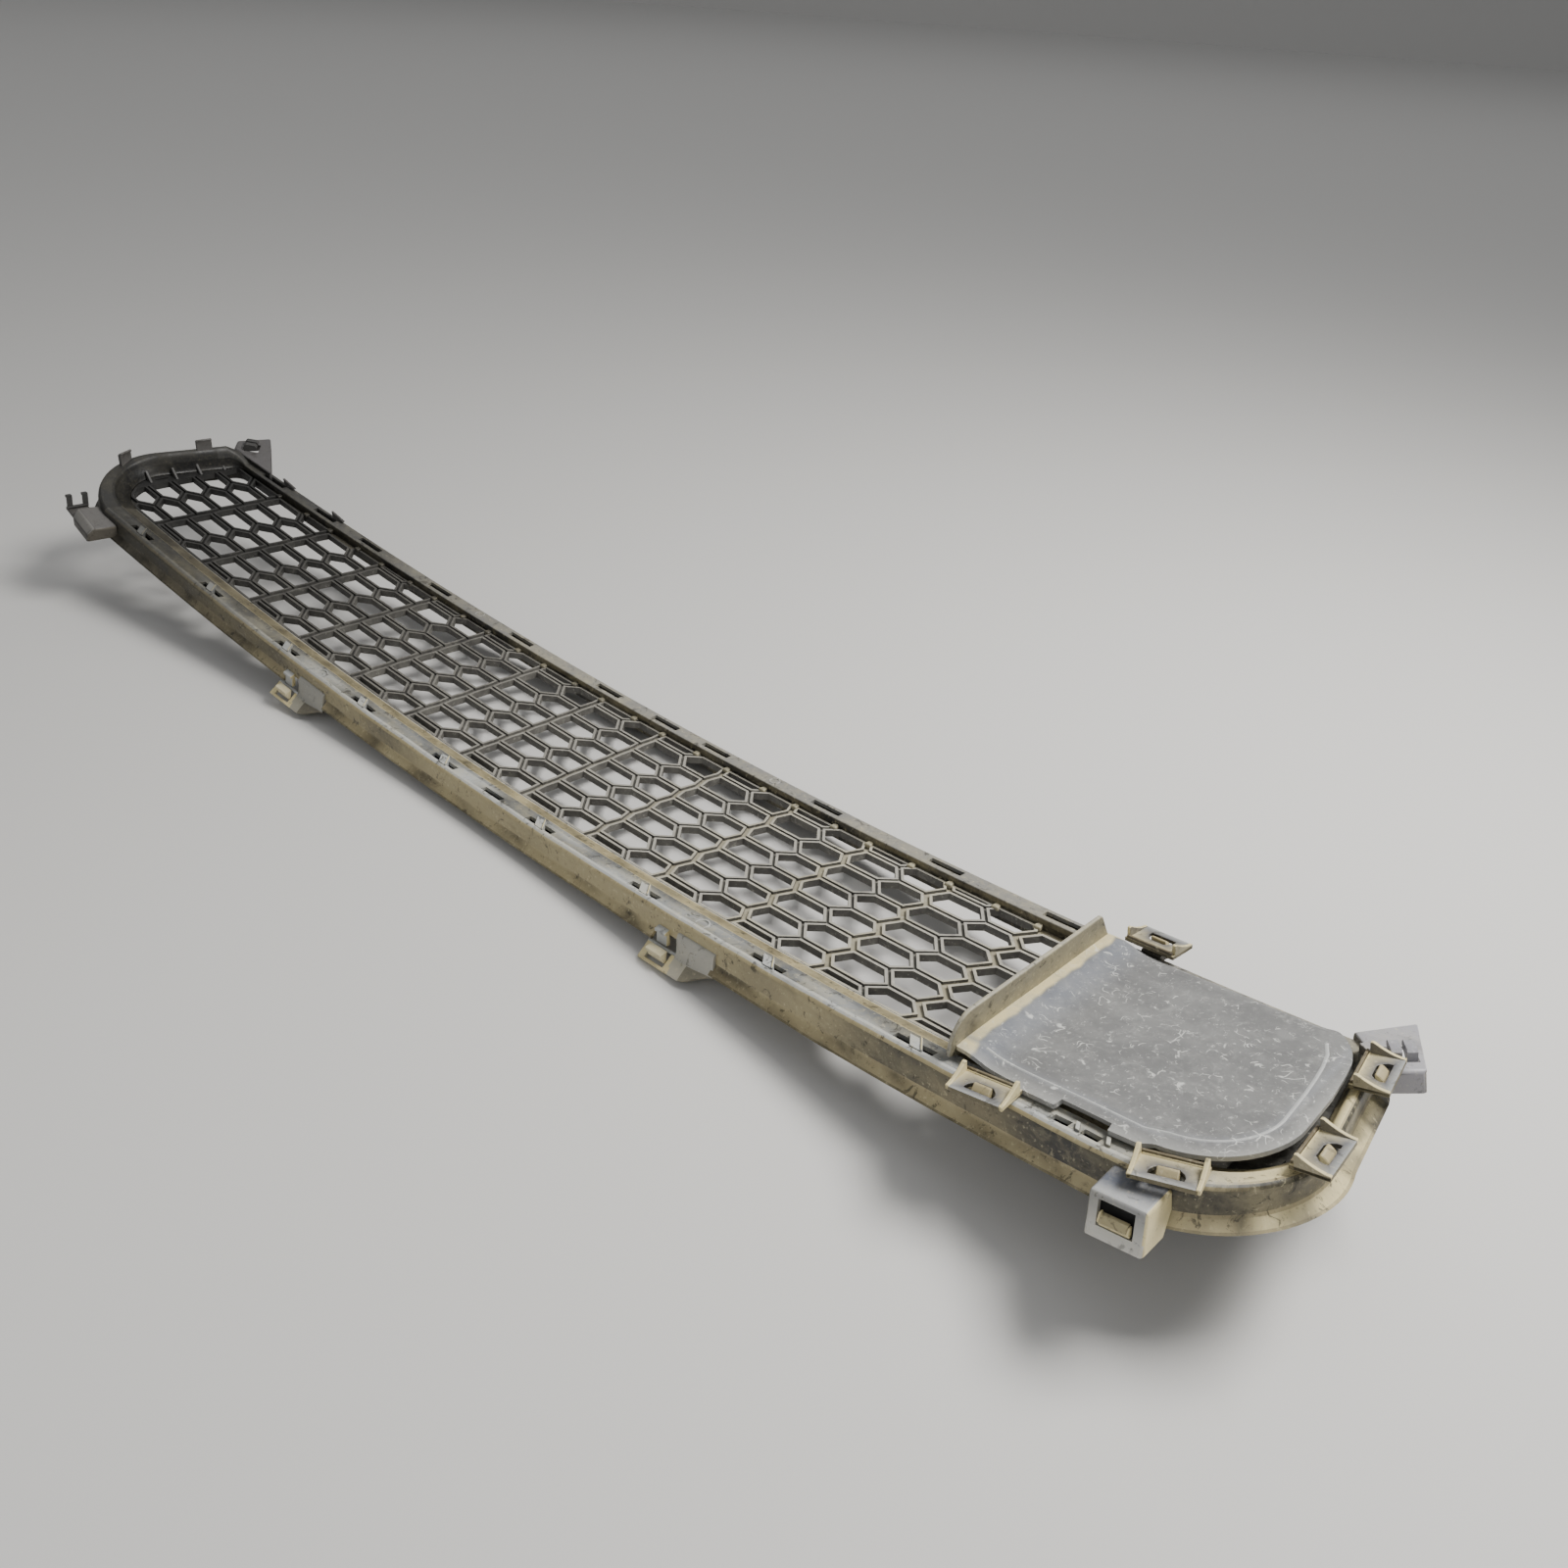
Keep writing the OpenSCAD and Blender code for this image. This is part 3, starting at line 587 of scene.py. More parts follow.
piece(surround, "surround_moulding", rim_mat, ROOT,
      ["surround_lower_rim", "surround_right_end", "surround_upper_rail", "surround_left_end"],
      merge=0.01, thick=2.2, sharp=30)


# ---------------------------------------------------------------- small features moulded on the surround
trim = Shape()


def ring_mark(x, y, height, radius, tint):
    m = turned(x, y, height, 0)
    n = 28
    pts, faces = [], []
    for i in range(n):
        a = 2 * math.pi * i / n
        for r, z in ((radius, -0.3), (radius - 0.25, 0.45), (radius - 0.85, 0.45), (radius - 1.1, -0.3)):
            pts.append((r * math.cos(a), r * math.sin(a), z))
    for i in range(n):
        for j in range(3):
            p, q = i * 4 + j, ((i + 1) % n) * 4 + j
            faces.append([p, p + 1, q + 1, q][::-1])
    trim.add(pts, faces, tint, m)


for x in (194, -198):
    ring_mark(x, lower_y(x) - 19.6, 7.8, 4.6, PALE)
for x in (103, -214):
    ring_mark(x, upper_y(x) + 5.6, 5.05, 3.9, srgb(168, 167, 163))

# slanted hooks that stand in the rim's slots, on the insert
hooks = Shape()
for x in RIM_SLOTS:
    m = turned(x, lower_y(x) - 20.2, 8.0, -math.degrees(math.atan(2 * LOWER_BOW * x)))
    hooks.prism([(-8.2, 4.2), (-1.6, -3.4), (5.6, -3.4), (-0.8, 4.2)], [], -6.0, 0.9, PALE, BAND, m)
    # the narrow cream strip along one edge of each hook is a painted highlight on that edge
    hooks.prism([(-1.4, 4.6), (5.2, -3.2), (6.4, -3.2), (-0.2, 4.6)], [], -5.0, 1.9, CREAM, PALE, m)
for x in (433.5, 449):
    m = turned(x, lower_y(x) - 20.2, 8.0, -4)
    hooks.prism([(4.4, 2.6), (7.4, -2.4), (9.8, -2.4), (6.8, 2.6)], [], -2.0, 1.6, PALE, BAND, m)
piece(hooks, "insert_hooks", rim_mat, ROOT, ["insert_hooks_lower"], bevel=0.4)


# ---------------------------------------------------------------- mesh of channel bars
def row_line(y0, x):
    return y0 - x * x / BAY * (0.0066 + 0.00052 * y0 / BAY)


def blunt(i, x):
    return row_line((i - 0.5) * ROW, x)


def offset(i, x):
    return row_line(i * ROW - 1.2, x)


def zig(k):
    return 0.4 + 0.85 * max(0, k)


def near_cell(k, i):
    x0, z = k * BAY, zig(k)
    near, far = x0 + 0.46 * BAY, x0 + 0.62 * BAY
    return ([(x0 + z, blunt(i, x0)), (near, blunt(i, near)), (far, offset(i, far)),
             (near, blunt(i + 1, near)), (x0 + z, blunt(i + 1, x0)), (x0 - z, offset(i, x0))],
            [BAR, BAR, BAR, BAR, CROSS, CROSS])


def far_cell(k, i):
    x1, z = (k + 1) * BAY, zig(k + 1)
    near, far = (k + 0.46) * BAY, (k + 0.62) * BAY
    return ([(far, offset(i, far)), (x1 - z, offset(i, x1)), (x1 + z, blunt(i + 1, x1)),
             (x1 - z, offset(i + 1, x1)), (far, offset(i + 1, far)), (near, blunt(i + 1, near))],
            [BAR, CROSS, CROSS, BAR, BAR, BAR])


def clip(poly, widths, point, normal, width):
    """Keeps the part of a convex outline on the normal's side; the new edge gets its own width."""
    out, wout = [], []
    n = len(poly)
    for i in range(n):
        p, q = poly[i], poly[(i + 1) % n]
        dp = (p[0] - point[0]) * normal[0] + (p[1] - point[1]) * normal[1]
        dq = (q[0] - point[0]) * normal[0] + (q[1] - point[1]) * normal[1]
        if dp >= 0:
            out.append(p)
            wout.append(widths[i])
        if (dp >= 0) != (dq >= 0):
            t = dp / (dp - dq)
            out.append((mix(p[0], q[0], t), mix(p[1], q[1], t)))
            wout.append(width if dp >= 0 else widths[i])
    return out, wout


def clip_arc(poly, widths, centre, radius, a, sgn, width):
    """Cuts an outline along the tangent of an end arc at one angle, at the right or the left end."""
    out = (sgn * math.sin(a), -math.cos(a))
    place = (sgn * (centre[0] + radius * math.sin(a)), centre[1] + radius * out[1])
    return clip(poly, widths, place, (-out[0], -out[1]), width)


def shrink(poly, dist):
    """Moves each edge of a convex outline inwards by its own distance."""
    out, w = list(poly), [0] * len(poly)
    n = len(poly)
    for i in range(n):
        p, q = poly[i], poly[(i + 1) % n]
        length = math.hypot(q[0] - p[0], q[1] - p[1])
        if length < 0.02:
            continue
        nx, ny = -(q[1] - p[1]) / length, (q[0] - p[0]) / length
        out, w = clip(out, w, (p[0] + nx * dist[i], p[1] + ny * dist[i]), (nx, ny), 0)
        if len(out) < 3:
            return []
    clean = [p for i, p in enumerate(out) if math.hypot(p[0] - out[i - 1][0], p[1] - out[i - 1][1]) > 0.05]
    return clean if len(clean) >= 3 else []


LIP = 2.1      # edge of the mesh that stays solid beside the surround
WALL = 1.65    # thickness of a channel's side wall
FLOOR = -1.9   # depth of a channel's floor
GAP = 0.25     # between the mesh and the surround
END_X = 508.5
COVERED_X = 498.0   # where the cells end under the panel
grid = Shape()


def sheet(shape, loops, z, tint, flip=False):
    flat, tris = triangles(loops)
    faces = [[a, c, b] if flip else [a, b, c] for a, b, c in tris]
    shape.add([(p[0], p[1], z + bend(p[0])) for p in flat], faces, tint)


def fence_loop(shape, loop, low, high, tint, out):
    n = len(loop)
    pts = [(p[0], p[1], low + bend(p[0])) for p in loop] + [(p[0], p[1], high + bend(p[0])) for p in loop]
    faces = [[i, (i + 1) % n, (i + 1) % n + n, i + n] for i in range(n)]
    shape.add(pts, faces if out else [f[::-1] for f in faces], tint)


# mesh colours: the light tops are dust with a painted highlight on their edges; the groove floors and channel
# walls are painted dark as shade; tops and grooves darken towards the far left end, partly as painted shade
# and partly with less dust
EDGE = blend3(srgb(168, 165, 156), KHAKI, 0.15)


def edge_tint(p):
    near = smooth(-260, 200, p[0])
    return blend3(srgb(92, 89, 84), EDGE, near)


def cross_tint(p):
    k = round(p[0] / BAY) * BAY
    t = edge_tint(p)
    return blend3(t, srgb(186, 178, 150), 0.55 * (abs(p[0] - k) < 6) * smooth(-50, 250, p[0]))


def groove_tint(p):
    k = round(p[0] / BAY) * BAY
    t = blend3(srgb(64, 62, 60), srgb(96, 94, 88), smooth(-260, 200, p[0]))
    return blend3(t, srgb(158, 150, 124), 0.8 * (abs(p[0] - k) < 7) * smooth(-150, 200, p[0]))


for k in range(-8, 8):
    for i in range(-4, 4):
        for make in (near_cell, far_cell):
            poly, widths = make(k, i)
            for x in (poly[0][0], poly[2][0], poly[-1][0]):
                s = 2 * LOWER_BOW * x
                poly, widths = clip(poly, widths, (x, lower_y(x) + GAP), (s, 1), 2 * LIP)
                s = 2 * UPPER_BOW * x
                poly, widths = clip(poly, widths, (x, upper_y(x) - GAP), (-s, -1), 2 * LIP)
            for sgn in (-1, 1):
                poly, widths = clip(poly, widths, (-END_X if sgn < 0 else COVERED_X, 0), (-sgn, 0), 0.02)
                for t in (0.1, 0.3, 0.5, 0.7, 0.9):
                    poly, widths = clip_arc(poly, widths, LC, LOW_ARC - GAP, mix(LT, ET, t), sgn, 2 * LIP)
            if len(poly) < 3 or area(poly) < 1:
                continue
            inner = shrink(poly, [w / 2 for w in widths])
            outer = shrink(poly, [max(0.0, w / 2 - WALL) for w in widths])
            if not inner or area(inner) < 6:
                sheet(grid, [poly], FLOOR, KHAKI)
                sheet(grid, [poly], -DEEP, DARK, True)
                continue
            sheet(grid, [outer, inner], 0.0, cross_tint)
            sheet(grid, [poly, outer], FLOOR, groove_tint)
            sheet(grid, [poly, inner], -DEEP, DARK, True)
            # painted shade: the channel walls are dark
            fence_loop(grid, inner, -DEEP, 0.0, srgb(84, 82, 78), False)
            fence_loop(grid, outer, FLOOR, 0.0, srgb(74, 72, 69), True)
# end bars with a row of small pockets beside them; the right one lies in the dark under the panel and is
# painted black as shade, and the pocket walls are painted black as shade
for sgn in (-1, 1):
    start = END_X if sgn < 0 else COVERED_X
    poly = [(start, -95), (540, -95), (540, 70), (start, 70)]
    w = [0] * 4
    poly, w = clip(poly, w, (505, lower_y(505)), (0.08, 1), 0)
    poly, w = clip(poly, w, (505, upper_y(505) - 0.3), (-0.14, -1), 0)
    for j in range(0, 9):
        poly, w = clip_arc(poly, w, LC, LOW_ARC - GAP, mix(LT, ET, j / 8), 1, 0)
    for j in range(0, 5):
        poly, w = clip_arc(poly, w, UC, UP_ARC - GAP, mix(ET, UT, j / 4), 1, 0)
    poly = [p for i, p in enumerate(poly) if math.hypot(p[0] - poly[i - 1][0], p[1] - poly[i - 1][1]) > 0.05]
    holes = [[(514.0, i * ROW - 5), (516.2 + 0.3 * i, i * ROW - 5), (516.0 + 0.5 * i, i * ROW + 6),
              (514.0, i * ROW + 6)] for i in range(-3, -1)]
    poly = [(sgn * x, y) for x, y in poly]
    holes = [[(sgn * x, y) for x, y in h] for h in holes]
    if sgn < 0:
        poly, holes = poly[::-1], [h[::-1] for h in holes]
    # painted shade: the covered right bar is black
    sheet(grid, [poly] + holes, -0.2, groove_tint if sgn < 0 else BLACK)
    sheet(grid, [poly] + holes, -DEEP, DARK, True)
    fence_loop(grid, poly, -DEEP, -0.2, DARK, True)
    for h in holes:
        fence_loop(grid, h, -DEEP, -0.2, BLACK, False)
piece(grid, "mesh_channels", mesh_mat, ROOT, ["mesh_insert"], merge=0.01, shade=False, bevel=0.0)

# nubs where the bars run into the upper wall
nubs = Shape()
for k in range(-7, 6):
    for x in (k * BAY, (k + 0.54) * BAY):
        if x > 360:
            continue
        m = turned(x, upper_y(x) - 1.5, 0, 0)
        # darker towards the far left end, partly painted shade and partly less dust
        nub = blend3(srgb(70, 68, 66), srgb(158, 152, 130), smooth(-250, 250, x))
        nubs.prism([(-2.6, -2.6), (2.6, -2.6), (1.8, 2.0), (-1.8, 2.0)], [], -1.5, 1.6, nub, nub, m)
piece(nubs, "mesh_nubs", rim_mat, ROOT, [], bevel=0.9, segments=3)

# ---------------------------------------------------------------- blanking panel
PT, PX = 13.0, 366.0
PANEL_R, CORNER_X, CORNER_Y = 44, 471.5, -48.5   # the rounded lower corner


def panel_low(x):
    return lower_y(x) - 16


def panel_outline():
    pts = []
    # lower edge with the stepped cut-outs between the hasps
    for x, d in ((366, 1.5), (369, 0.5), (404, 0.5), (404.6, -1.8), (425.5, -1.8), (426.3, 3.4), (452, 3.4),
                 (452.8, -1.2), (467, -0.4)):
        pts.append((x, panel_low(x) + d))
    for i in range(0, 17):
        a = math.radians(mix(-88, 0, i / 16))
        pts.append((CORNER_X + PANEL_R * math.cos(a), CORNER_Y + PANEL_R * math.sin(a)))
    pts += [(514.2, -20), (512.4, -4), (510.2, 8), (507.6, 14), (504, 19.5), (500, 24), (496, 27.3)]
    for x in (488, 470, 450, 430, 410, 390, 378, 366):
        pts.append((x, upper_y(x) + 4.5))
    return pts


def panel_edge(x, y):
    """Distance to the panel's lower or right edge."""
    if x > CORNER_X and y < CORNER_Y:
        return PANEL_R - math.hypot(x - CORNER_X, y - CORNER_Y)
    return min(CORNER_X + PANEL_R - x, y - panel_low(x))


def panel_height(x, y):
    z = PT + bend(x)
    hollow = smooth(PX + 12, PX + 30, x) - smooth(PX + 30, PX + 80, x)
    z += 2.6 * (1 - smooth(PX + 5.5, PX + 24, x)) - 1.0 * hollow
    z -= 0.9 * (1 - smooth(0, 9.5, panel_edge(x, y)))
    z -= 4.4 * (1 - smooth(0, 7.5, upper_y(x) + 4.5 - y)) * (1 - smooth(484, 500, x))
    return z + lumpy(x, y, 2, 0.03, 0.22)


plate = bmesh.new()
plate.faces.new([plate.verts.new((x, y, 0)) for x, y in panel_outline()])
for x in [PX + 4 + step * 0.7 for step in range(12)] + [PX + 13 + step * 2.5 for step in range(56)]:
    bmesh.ops.bisect_plane(plate, geom=plate.verts[:] + plate.edges[:] + plate.faces[:], plane_co=(x, 0, 0),
                           plane_no=(1, 0, 0))
for step in range(0, 47):
    y = -95 + step * 3.0
    bmesh.ops.bisect_plane(plate, geom=plate.verts[:] + plate.edges[:] + plate.faces[:], plane_co=(0, y, 0),
                           plane_no=(0, 1, 0))
plate.verts.ensure_lookup_table()
panel = Shape()
SHEET = srgb(112, 112, 111)


def panel_tint(p):
    t = SHEET
    # painted shade: a bluish tint on the hollow beside the ledge
    hollow_shade = smooth(PX + 7, PX + 10, p[0]) - smooth(PX + 10, PX + 34, p[0])
    t = blend3(t, srgb(112, 116, 124), 0.85 * hollow_shade)
    wander = 2.6 * wander_at(p[1] * 0.11, 0, 3) + 3.0 * smooth(-70, -90, p[1])
    t = blend3(t, CREAM, 1 - smooth(PX + 6.8, PX + 9.0, p[0] - wander))
    edge = panel_edge(p[0], p[1])
    t = blend3(t, srgb(132, 134, 138), 0.7 * (smooth(13, 9.5, edge) - smooth(9.5, 7, edge)))
    t = blend3(t, srgb(176, 175, 170), 0.5 * smooth(7, 0, edge))
    return t


index = {v: i for i, v in enumerate(plate.verts)}
panel.add([(v.co.x, v.co.y, panel_height(v.co.x, v.co.y)) for v in plate.verts],
          [[index[v] for v in f.verts] for f in plate.faces], panel_tint)
plate.free()
piece(panel, "panel_sheet", panel_mat, ROOT, ["blanking_panel"], thick=2.4, fade=False,
      sharp=60)

# raised line along the panel's lower and right border
line = Shape()
track = [(x, panel_low(x) + 9.2) for x in range(380, 470, 6)]
track += [(CORNER_X + 34.8 * math.cos(math.radians(a)), CORNER_Y + 34.8 * math.sin(math.radians(a)))
          for a in range(-86, 1, 6)]
track += [(505.6, -38), (504.8, -26), (503.6, -14), (502, -3), (499.6, 7), (495.6, 15)]
pts, faces = [], []
for i, (x, y) in enumerate(track):
    a, b = track[max(0, i - 1)], track[min(len(track) - 1, i + 1)]
    d = Vector((b[0] - a[0], b[1] - a[1], 0)).normalized()
    n = Vector((-d.y, d.x, 0))
    z = panel_height(x, y)
    for off, h in ((-1.1, -0.3), (-0.6, 0.35), (0.1, 0.42), (1.0, -0.3)):
        pts.append((x + n.x * off, y + n.y * off, z + h))
for i in range(len(track) - 1):
    for j in range(3):
        faces.append([i * 4 + j, (i + 1) * 4 + j, (i + 1) * 4 + j + 1, i * 4 + j + 1])
line.add(pts, faces, srgb(176, 177, 175))
piece(line, "panel_border_line", panel_mat, ROOT, [], fade=False, sharp=70)

# fence wall of the panel
fence = Shape()
rim = lower_y(PX)
profile = [(42.2, 0.5), (42.2, PT), (31, 31.0), (29, 32.0)]
profile += [(-93 + 14 * (1 - math.sin(math.radians(a))), PT + 19 * math.cos(math.radians(a)))
            for a in range(0, 91, 6)]
profile += [(-93, 10.5), (rim - 16, 8.9), (rim - 13, 7.9), (rim - 11, 6), (rim - 2, 2.3), (rim, 0.5)]
fence.prism(profile, [], 0, 2.4, srgb(134, 128, 108), srgb(156, 152, 138),
            Matrix.Translation((PX, 0, bend(PX))) @ turn_yz)
piece(fence, "panel_fence", rim_mat, ROOT, [], bevel=0.7, segments=3, fade=False)

# ---------------------------------------------------------------- hasps of the panel
HASPS = {"panel_clip_lower_inner": (394.5, -94.6, 183.4), "panel_clip_lower_outer": (483.5, -95.4, 194),
         "panel_clip_end_lower": (519, -58, -86), "panel_clip_end_upper": (513.2, 7, -81),
         "panel_clip_upper": (389, upper_y(389) + 6.4, -6)}
FACE = srgb(92, 92, 95)
for name, (x, y, turn) in HASPS.items():
    m = turned(x, y, 10.8, turn)
    back = m.inverted()

    def face_tint(p, back=back):
        q = back @ p
        t = blend3(CREAM, FACE, smooth(1.5, 6.5, q.y + 1.5 * noise.noise(p * 0.3) + 0.12 * q.x))
        return blend3(t, PALE, 0.7 * smooth(15.4, 16.8, q.y))

    h = Shape()
    window = [(-7.5, 13.2), (-7.5, 11.2), (-6.4, 9.0), (-4.0, 7.0), (4.0, 7.0), (6.4, 9.0), (7.5, 11.2),
              (7.5, 13.2)]
    outline = [(-15, 0), (15, 0), (15, 17), (-14.2, 17), (-15, 16.2)]
    h.prism(outline, [window], -1.1, 1.1, face_tint, KHAKI, m, inside=BLACK)
    for side in (-1, 1):
        curve = [(1.8, -1.0), (17, -1.0), (17, 1.4)] + \
            [(mix(17, 3.2, t / 6), 1.4 + 5.2 * (t / 6) ** 1.7) for t in range(1, 7)] + [(1.8, 6.4)]
        mm = m @ Matrix.Translation((side * 14 - 1, 0, 0)) @ turn_yz
        h.prism(curve, [], 0, 2, srgb(150, 142, 118) if side > 0 else srgb(104, 100, 92), CREAM, mm)
    h.prism([(-14, 0.2), (14, 0.2), (14, 1.6), (-14, 1.6)], [], -1.0, 2.6, srgb(98, 87, 66),
            srgb(84, 75, 57), m)
    h.prism([(-13, 1.6), (13, 1.6), (13, 2.3), (-13, 2.3)], [], 0.6, 1.7, CREAM, CREAM, m)
    piece(h, name.replace("panel_clip", "hasp"), clip_mat, name.replace("panel_clip", "clip"), [name],
          bevel=0.45, segments=2, fade=False)
    # the catch behind the window belongs to the surround
    c = Shape()
    low = -7.4 if name == "panel_clip_upper" else -5.0
    mm = m @ Matrix.Translation((-6, 10, 0)) @ turn_yz
    c.prism([(-8, -3.2), (-8, low), (2.2, low), (2.2, -3.2)], [], 0, 12, srgb(70, 66, 58),
            srgb(58, 55, 50), mm)
    mm = m @ Matrix.Translation((-4.6, 10, 0)) @ turn_yz
    c.prism([(-1.8, -3.4), (2.2, -3.4), (2.2, -0.4), (0.9, 1.0), (-0.6, 2.2), (-1.8, 2.2)], [], 0, 9.2,
            CREAM, BEIGE, mm)
    piece(c, name.replace("panel_clip", "catch"), clip_mat, ROOT, [], bevel=0.5, segments=2,
          fade=False)

# ---------------------------------------------------------------- brackets
# x, height over the bent face and turn of each lower bracket; all stand outside the rim
BRACKETS = {name: (x, lower_y(x) - 26.9, height, turn) for name, x, height, turn in (
    ("lower_left", -474, 3, -4), ("lower_mid_left", GUSSETS["left"], 1, 2),
    ("lower_mid_right", GUSSETS["right"], 1, -1.7), ("lower_right", 476.5, 5.4, 0))}
BRACKETS.update(upper_left=(-526.5, 32.2, 10, -40), upper_right=(529, 20.3, 8, 35))

# windowed corner bracket: top plate, steep face with a window, and two side walls
m = turned(*BRACKETS["lower_right"])
b = Shape()
W = 13.5


def on_face(x, t):
    """A point on the steep face, t from its upper to its lower edge."""
    return (x, mix(-17.5, -22.4, t), mix(-0.6, -19.5, t))


rows = [0.0, 0.13, 0.72, 1.0]
cols = [-W, -8.5, 8.5, W]
pts = [(x, 0.8, 0.1) for x in cols] + [(x, -9, -0.2) for x in cols]
for t in rows:
    pts += [on_face(x, t) for x in cols]
faces, tints = [], []
back = m.inverted()


def top_tint(p, back=back):
    q = back @ p
    pale = smooth(-9, -18, q.y) * 0.85 + 0.15 * smooth(2, 12, q.x)
    return blend3(srgb(92, 96, 106), srgb(190, 191, 190), pale)


def face_light(p, back=back):
    q = back @ p
    return blend3(srgb(150, 150, 148), srgb(206, 204, 196), smooth(-4, -18, q.z))


for r in range(5):
    for c in range(3):
        if r == 3 and c == 1:
            continue
        faces.append([r * 4 + c, (r + 1) * 4 + c, (r + 1) * 4 + c + 1, r * 4 + c + 1])
        tints.append(top_tint if r < 2 else face_light)
n = len(pts)
pts += [(-W, 0.8, -10), (W, 0.8, -10), (-W, -6, -19.5), (W, -6, -19.5)]
faces += [[0, n, n + 2, 20, 16, 12, 8, 4], [3, 7, 11, 15, 19, 23, n + 3, n + 1]]
tints += [srgb(120, 118, 112), CREAM]
b.add(pts, faces, tints, m)
piece(b, "corner_bracket", clip_mat, ROOT, ["lower_right_bracket"], bevel=1.6, segments=3,
      thick=2.2, fade=False, sharp=50)

t = Shape()
for a, c, top, tint in ((-6.4, 6.4, 4.3, srgb(104, 97, 78)), (-7.2, -6.2, 4.9, CREAM),
                        (6.2, 7.2, 3.6, CREAM)):
    lean = top * 0.24
    t.prism([(-1.0, 0), (0.9, 0), (0.9 + lean, top), (-1.3 + lean, top), (-2.3, top * 0.35)], [], 0, c - a,
            tint, blend3(tint, CREAM, 0.5), m @ Matrix.Translation((a, -20.1, -12.6)) @ turn_yz)
t.prism([(-0.9, -1.3), (0.9, -1.3), (0.9, 0.6), (-0.9, 0.6)], [], 0, 14.4, BEIGE, CREAM,
        m @ Matrix.Translation((-7.2, -19.9, -12.5)) @ turn_yz)
piece(t, "corner_tongue", clip_mat, "lower_right_tongue", ["lower_right_tongue"], bevel=0.35,
      fade=False)

# gusset brackets
for side in ("left", "right"):
    m = turned(*BRACKETS["lower_mid_" + side])
    g = Shape()
    xs = [-1.5, 1, 4, 7, 9, 11, 14, 18, 22, 25, 27, 28.5]
    pts, faces, tints = [], [], []
    for x in xs:
        k = smooth(8, 29, x)
        reach, drop = mix(12.8, 3.9, k), mix(-20.4, -13.6, k)
        pts += [(x, y, z) for y, z in (
            (1.6, 0.5), (-0.6, 0.35), (-1.9, 0.0), (-2.6, -0.9), (-3.0, -2.6), (-3.3, -6), (-3.7, -10),
            (-4.1, -12.2), (mix(-4.4, -reach, 0.15), mix(-13.4, drop, 0.15)),
            (mix(-4.4, -reach, 0.5), mix(-13.2, drop, 0.5)),
            (mix(-4.4, -reach, 0.88), mix(-13.0, drop, 0.88)),
            (-reach, drop - 0.3), (-reach + 0.7, drop - 1.2))]
    wide = 13
    for c in range(len(xs) - 1):
        for r in range(wide - 1):
            i = c * wide + r
            faces.append([i, i + 1, i + wide + 1, i + wide])
            # painted shade: the lower right facet is darker where a recess lies in shade
            shaded_facet = r >= 8 and xs[c] >= 9
            light = srgb(168, 166, 157) if r < 8 else srgb(180, 175, 158)
            tints.append(srgb(118, 113, 98) if shaded_facet else light)
    g.add(pts, faces, tints, m)
    piece(g, "gusset_" + side, clip_mat, ROOT, ["lower_mid_%s_bracket" % side],
          thick=1.8, sharp=60)
    lug = Shape()
    slope = [(-3.8, -13), (-13, -20.4), (-11.5, -22.3), (-2.0, -14.8)]
    for a, c in ((-25, -20.4), (-4.8, 0.4)):
        lug.prism([(y, z) for y, z in slope], [], 0, c - a, srgb(196, 190, 166), CREAM,
                  m @ Matrix.Translation((a, 0, 0)) @ turn_yz)
    lug.prism([(-11.6, -19.2), (-13.2, -20.5), (-11.6, -22.4), (-10.2, -21.2)], [], 0, 25, PALE, CREAM,
              m @ Matrix.Translation((-25, 0, 0)) @ turn_yz)
    lug.prism([(-3.4, -12.6), (-4.9, -13.7), (-3.4, -15.4), (-2.0, -14.2)], [], 0, 25, CREAM, PALE,
              m @ Matrix.Translation((-25, 0, 0)) @ turn_yz)
    # a small hook beside each gusset
    lug.prism([(-3.6, -12), (-0.6, -12), (-0.6, -2), (-4.6, -3.2), (-4.6, -5), (-3.0, -5)], [], 0, 9,
              CREAM, PALE, m @ Matrix.Translation((-19, 0, 0)) @ turn_yz)
    piece(lug, "lug_" + side, clip_mat, ROOT, [], bevel=0.5, segments=2, fade=False)

# bracket of the lower left corner
m = turned(*BRACKETS["lower_left"])
b = Shape()
pts = [(-17, 1, 0), (17, 1, 0), (17, -16, 1), (-17, -16, 1), (15, -21, -5), (-15, -21, -5), (14, -21, -11),
       (-14, -21, -11), (17, 1, -9), (-17, 1, -9)]
faces = [[0, 3, 2, 1], [3, 5, 4, 2], [5, 7, 6, 4], [1, 2, 4, 6, 8], [0, 9, 7, 5, 3]]
b.add(pts, faces, [srgb(96, 94, 92), srgb(120, 118, 114), srgb(70, 68, 66), srgb(84, 80, 72),
                   srgb(60, 58, 56)], m)
piece(b, "corner_bracket_left", clip_mat, ROOT, ["lower_left_bracket"], bevel=1.8, segments=3,
      thick=2.0, fade=False, sharp=50)
b = Shape()
b.prism([(-31, -20), (-16, -20), (-16, -4), (-31, -4)], [], -7.4, -5.0, srgb(74, 72, 70), srgb(60, 58, 56), m)
piece(b, "corner_bracket_left_tab", clip_mat, ROOT, [], bevel=0.5, fade=False)

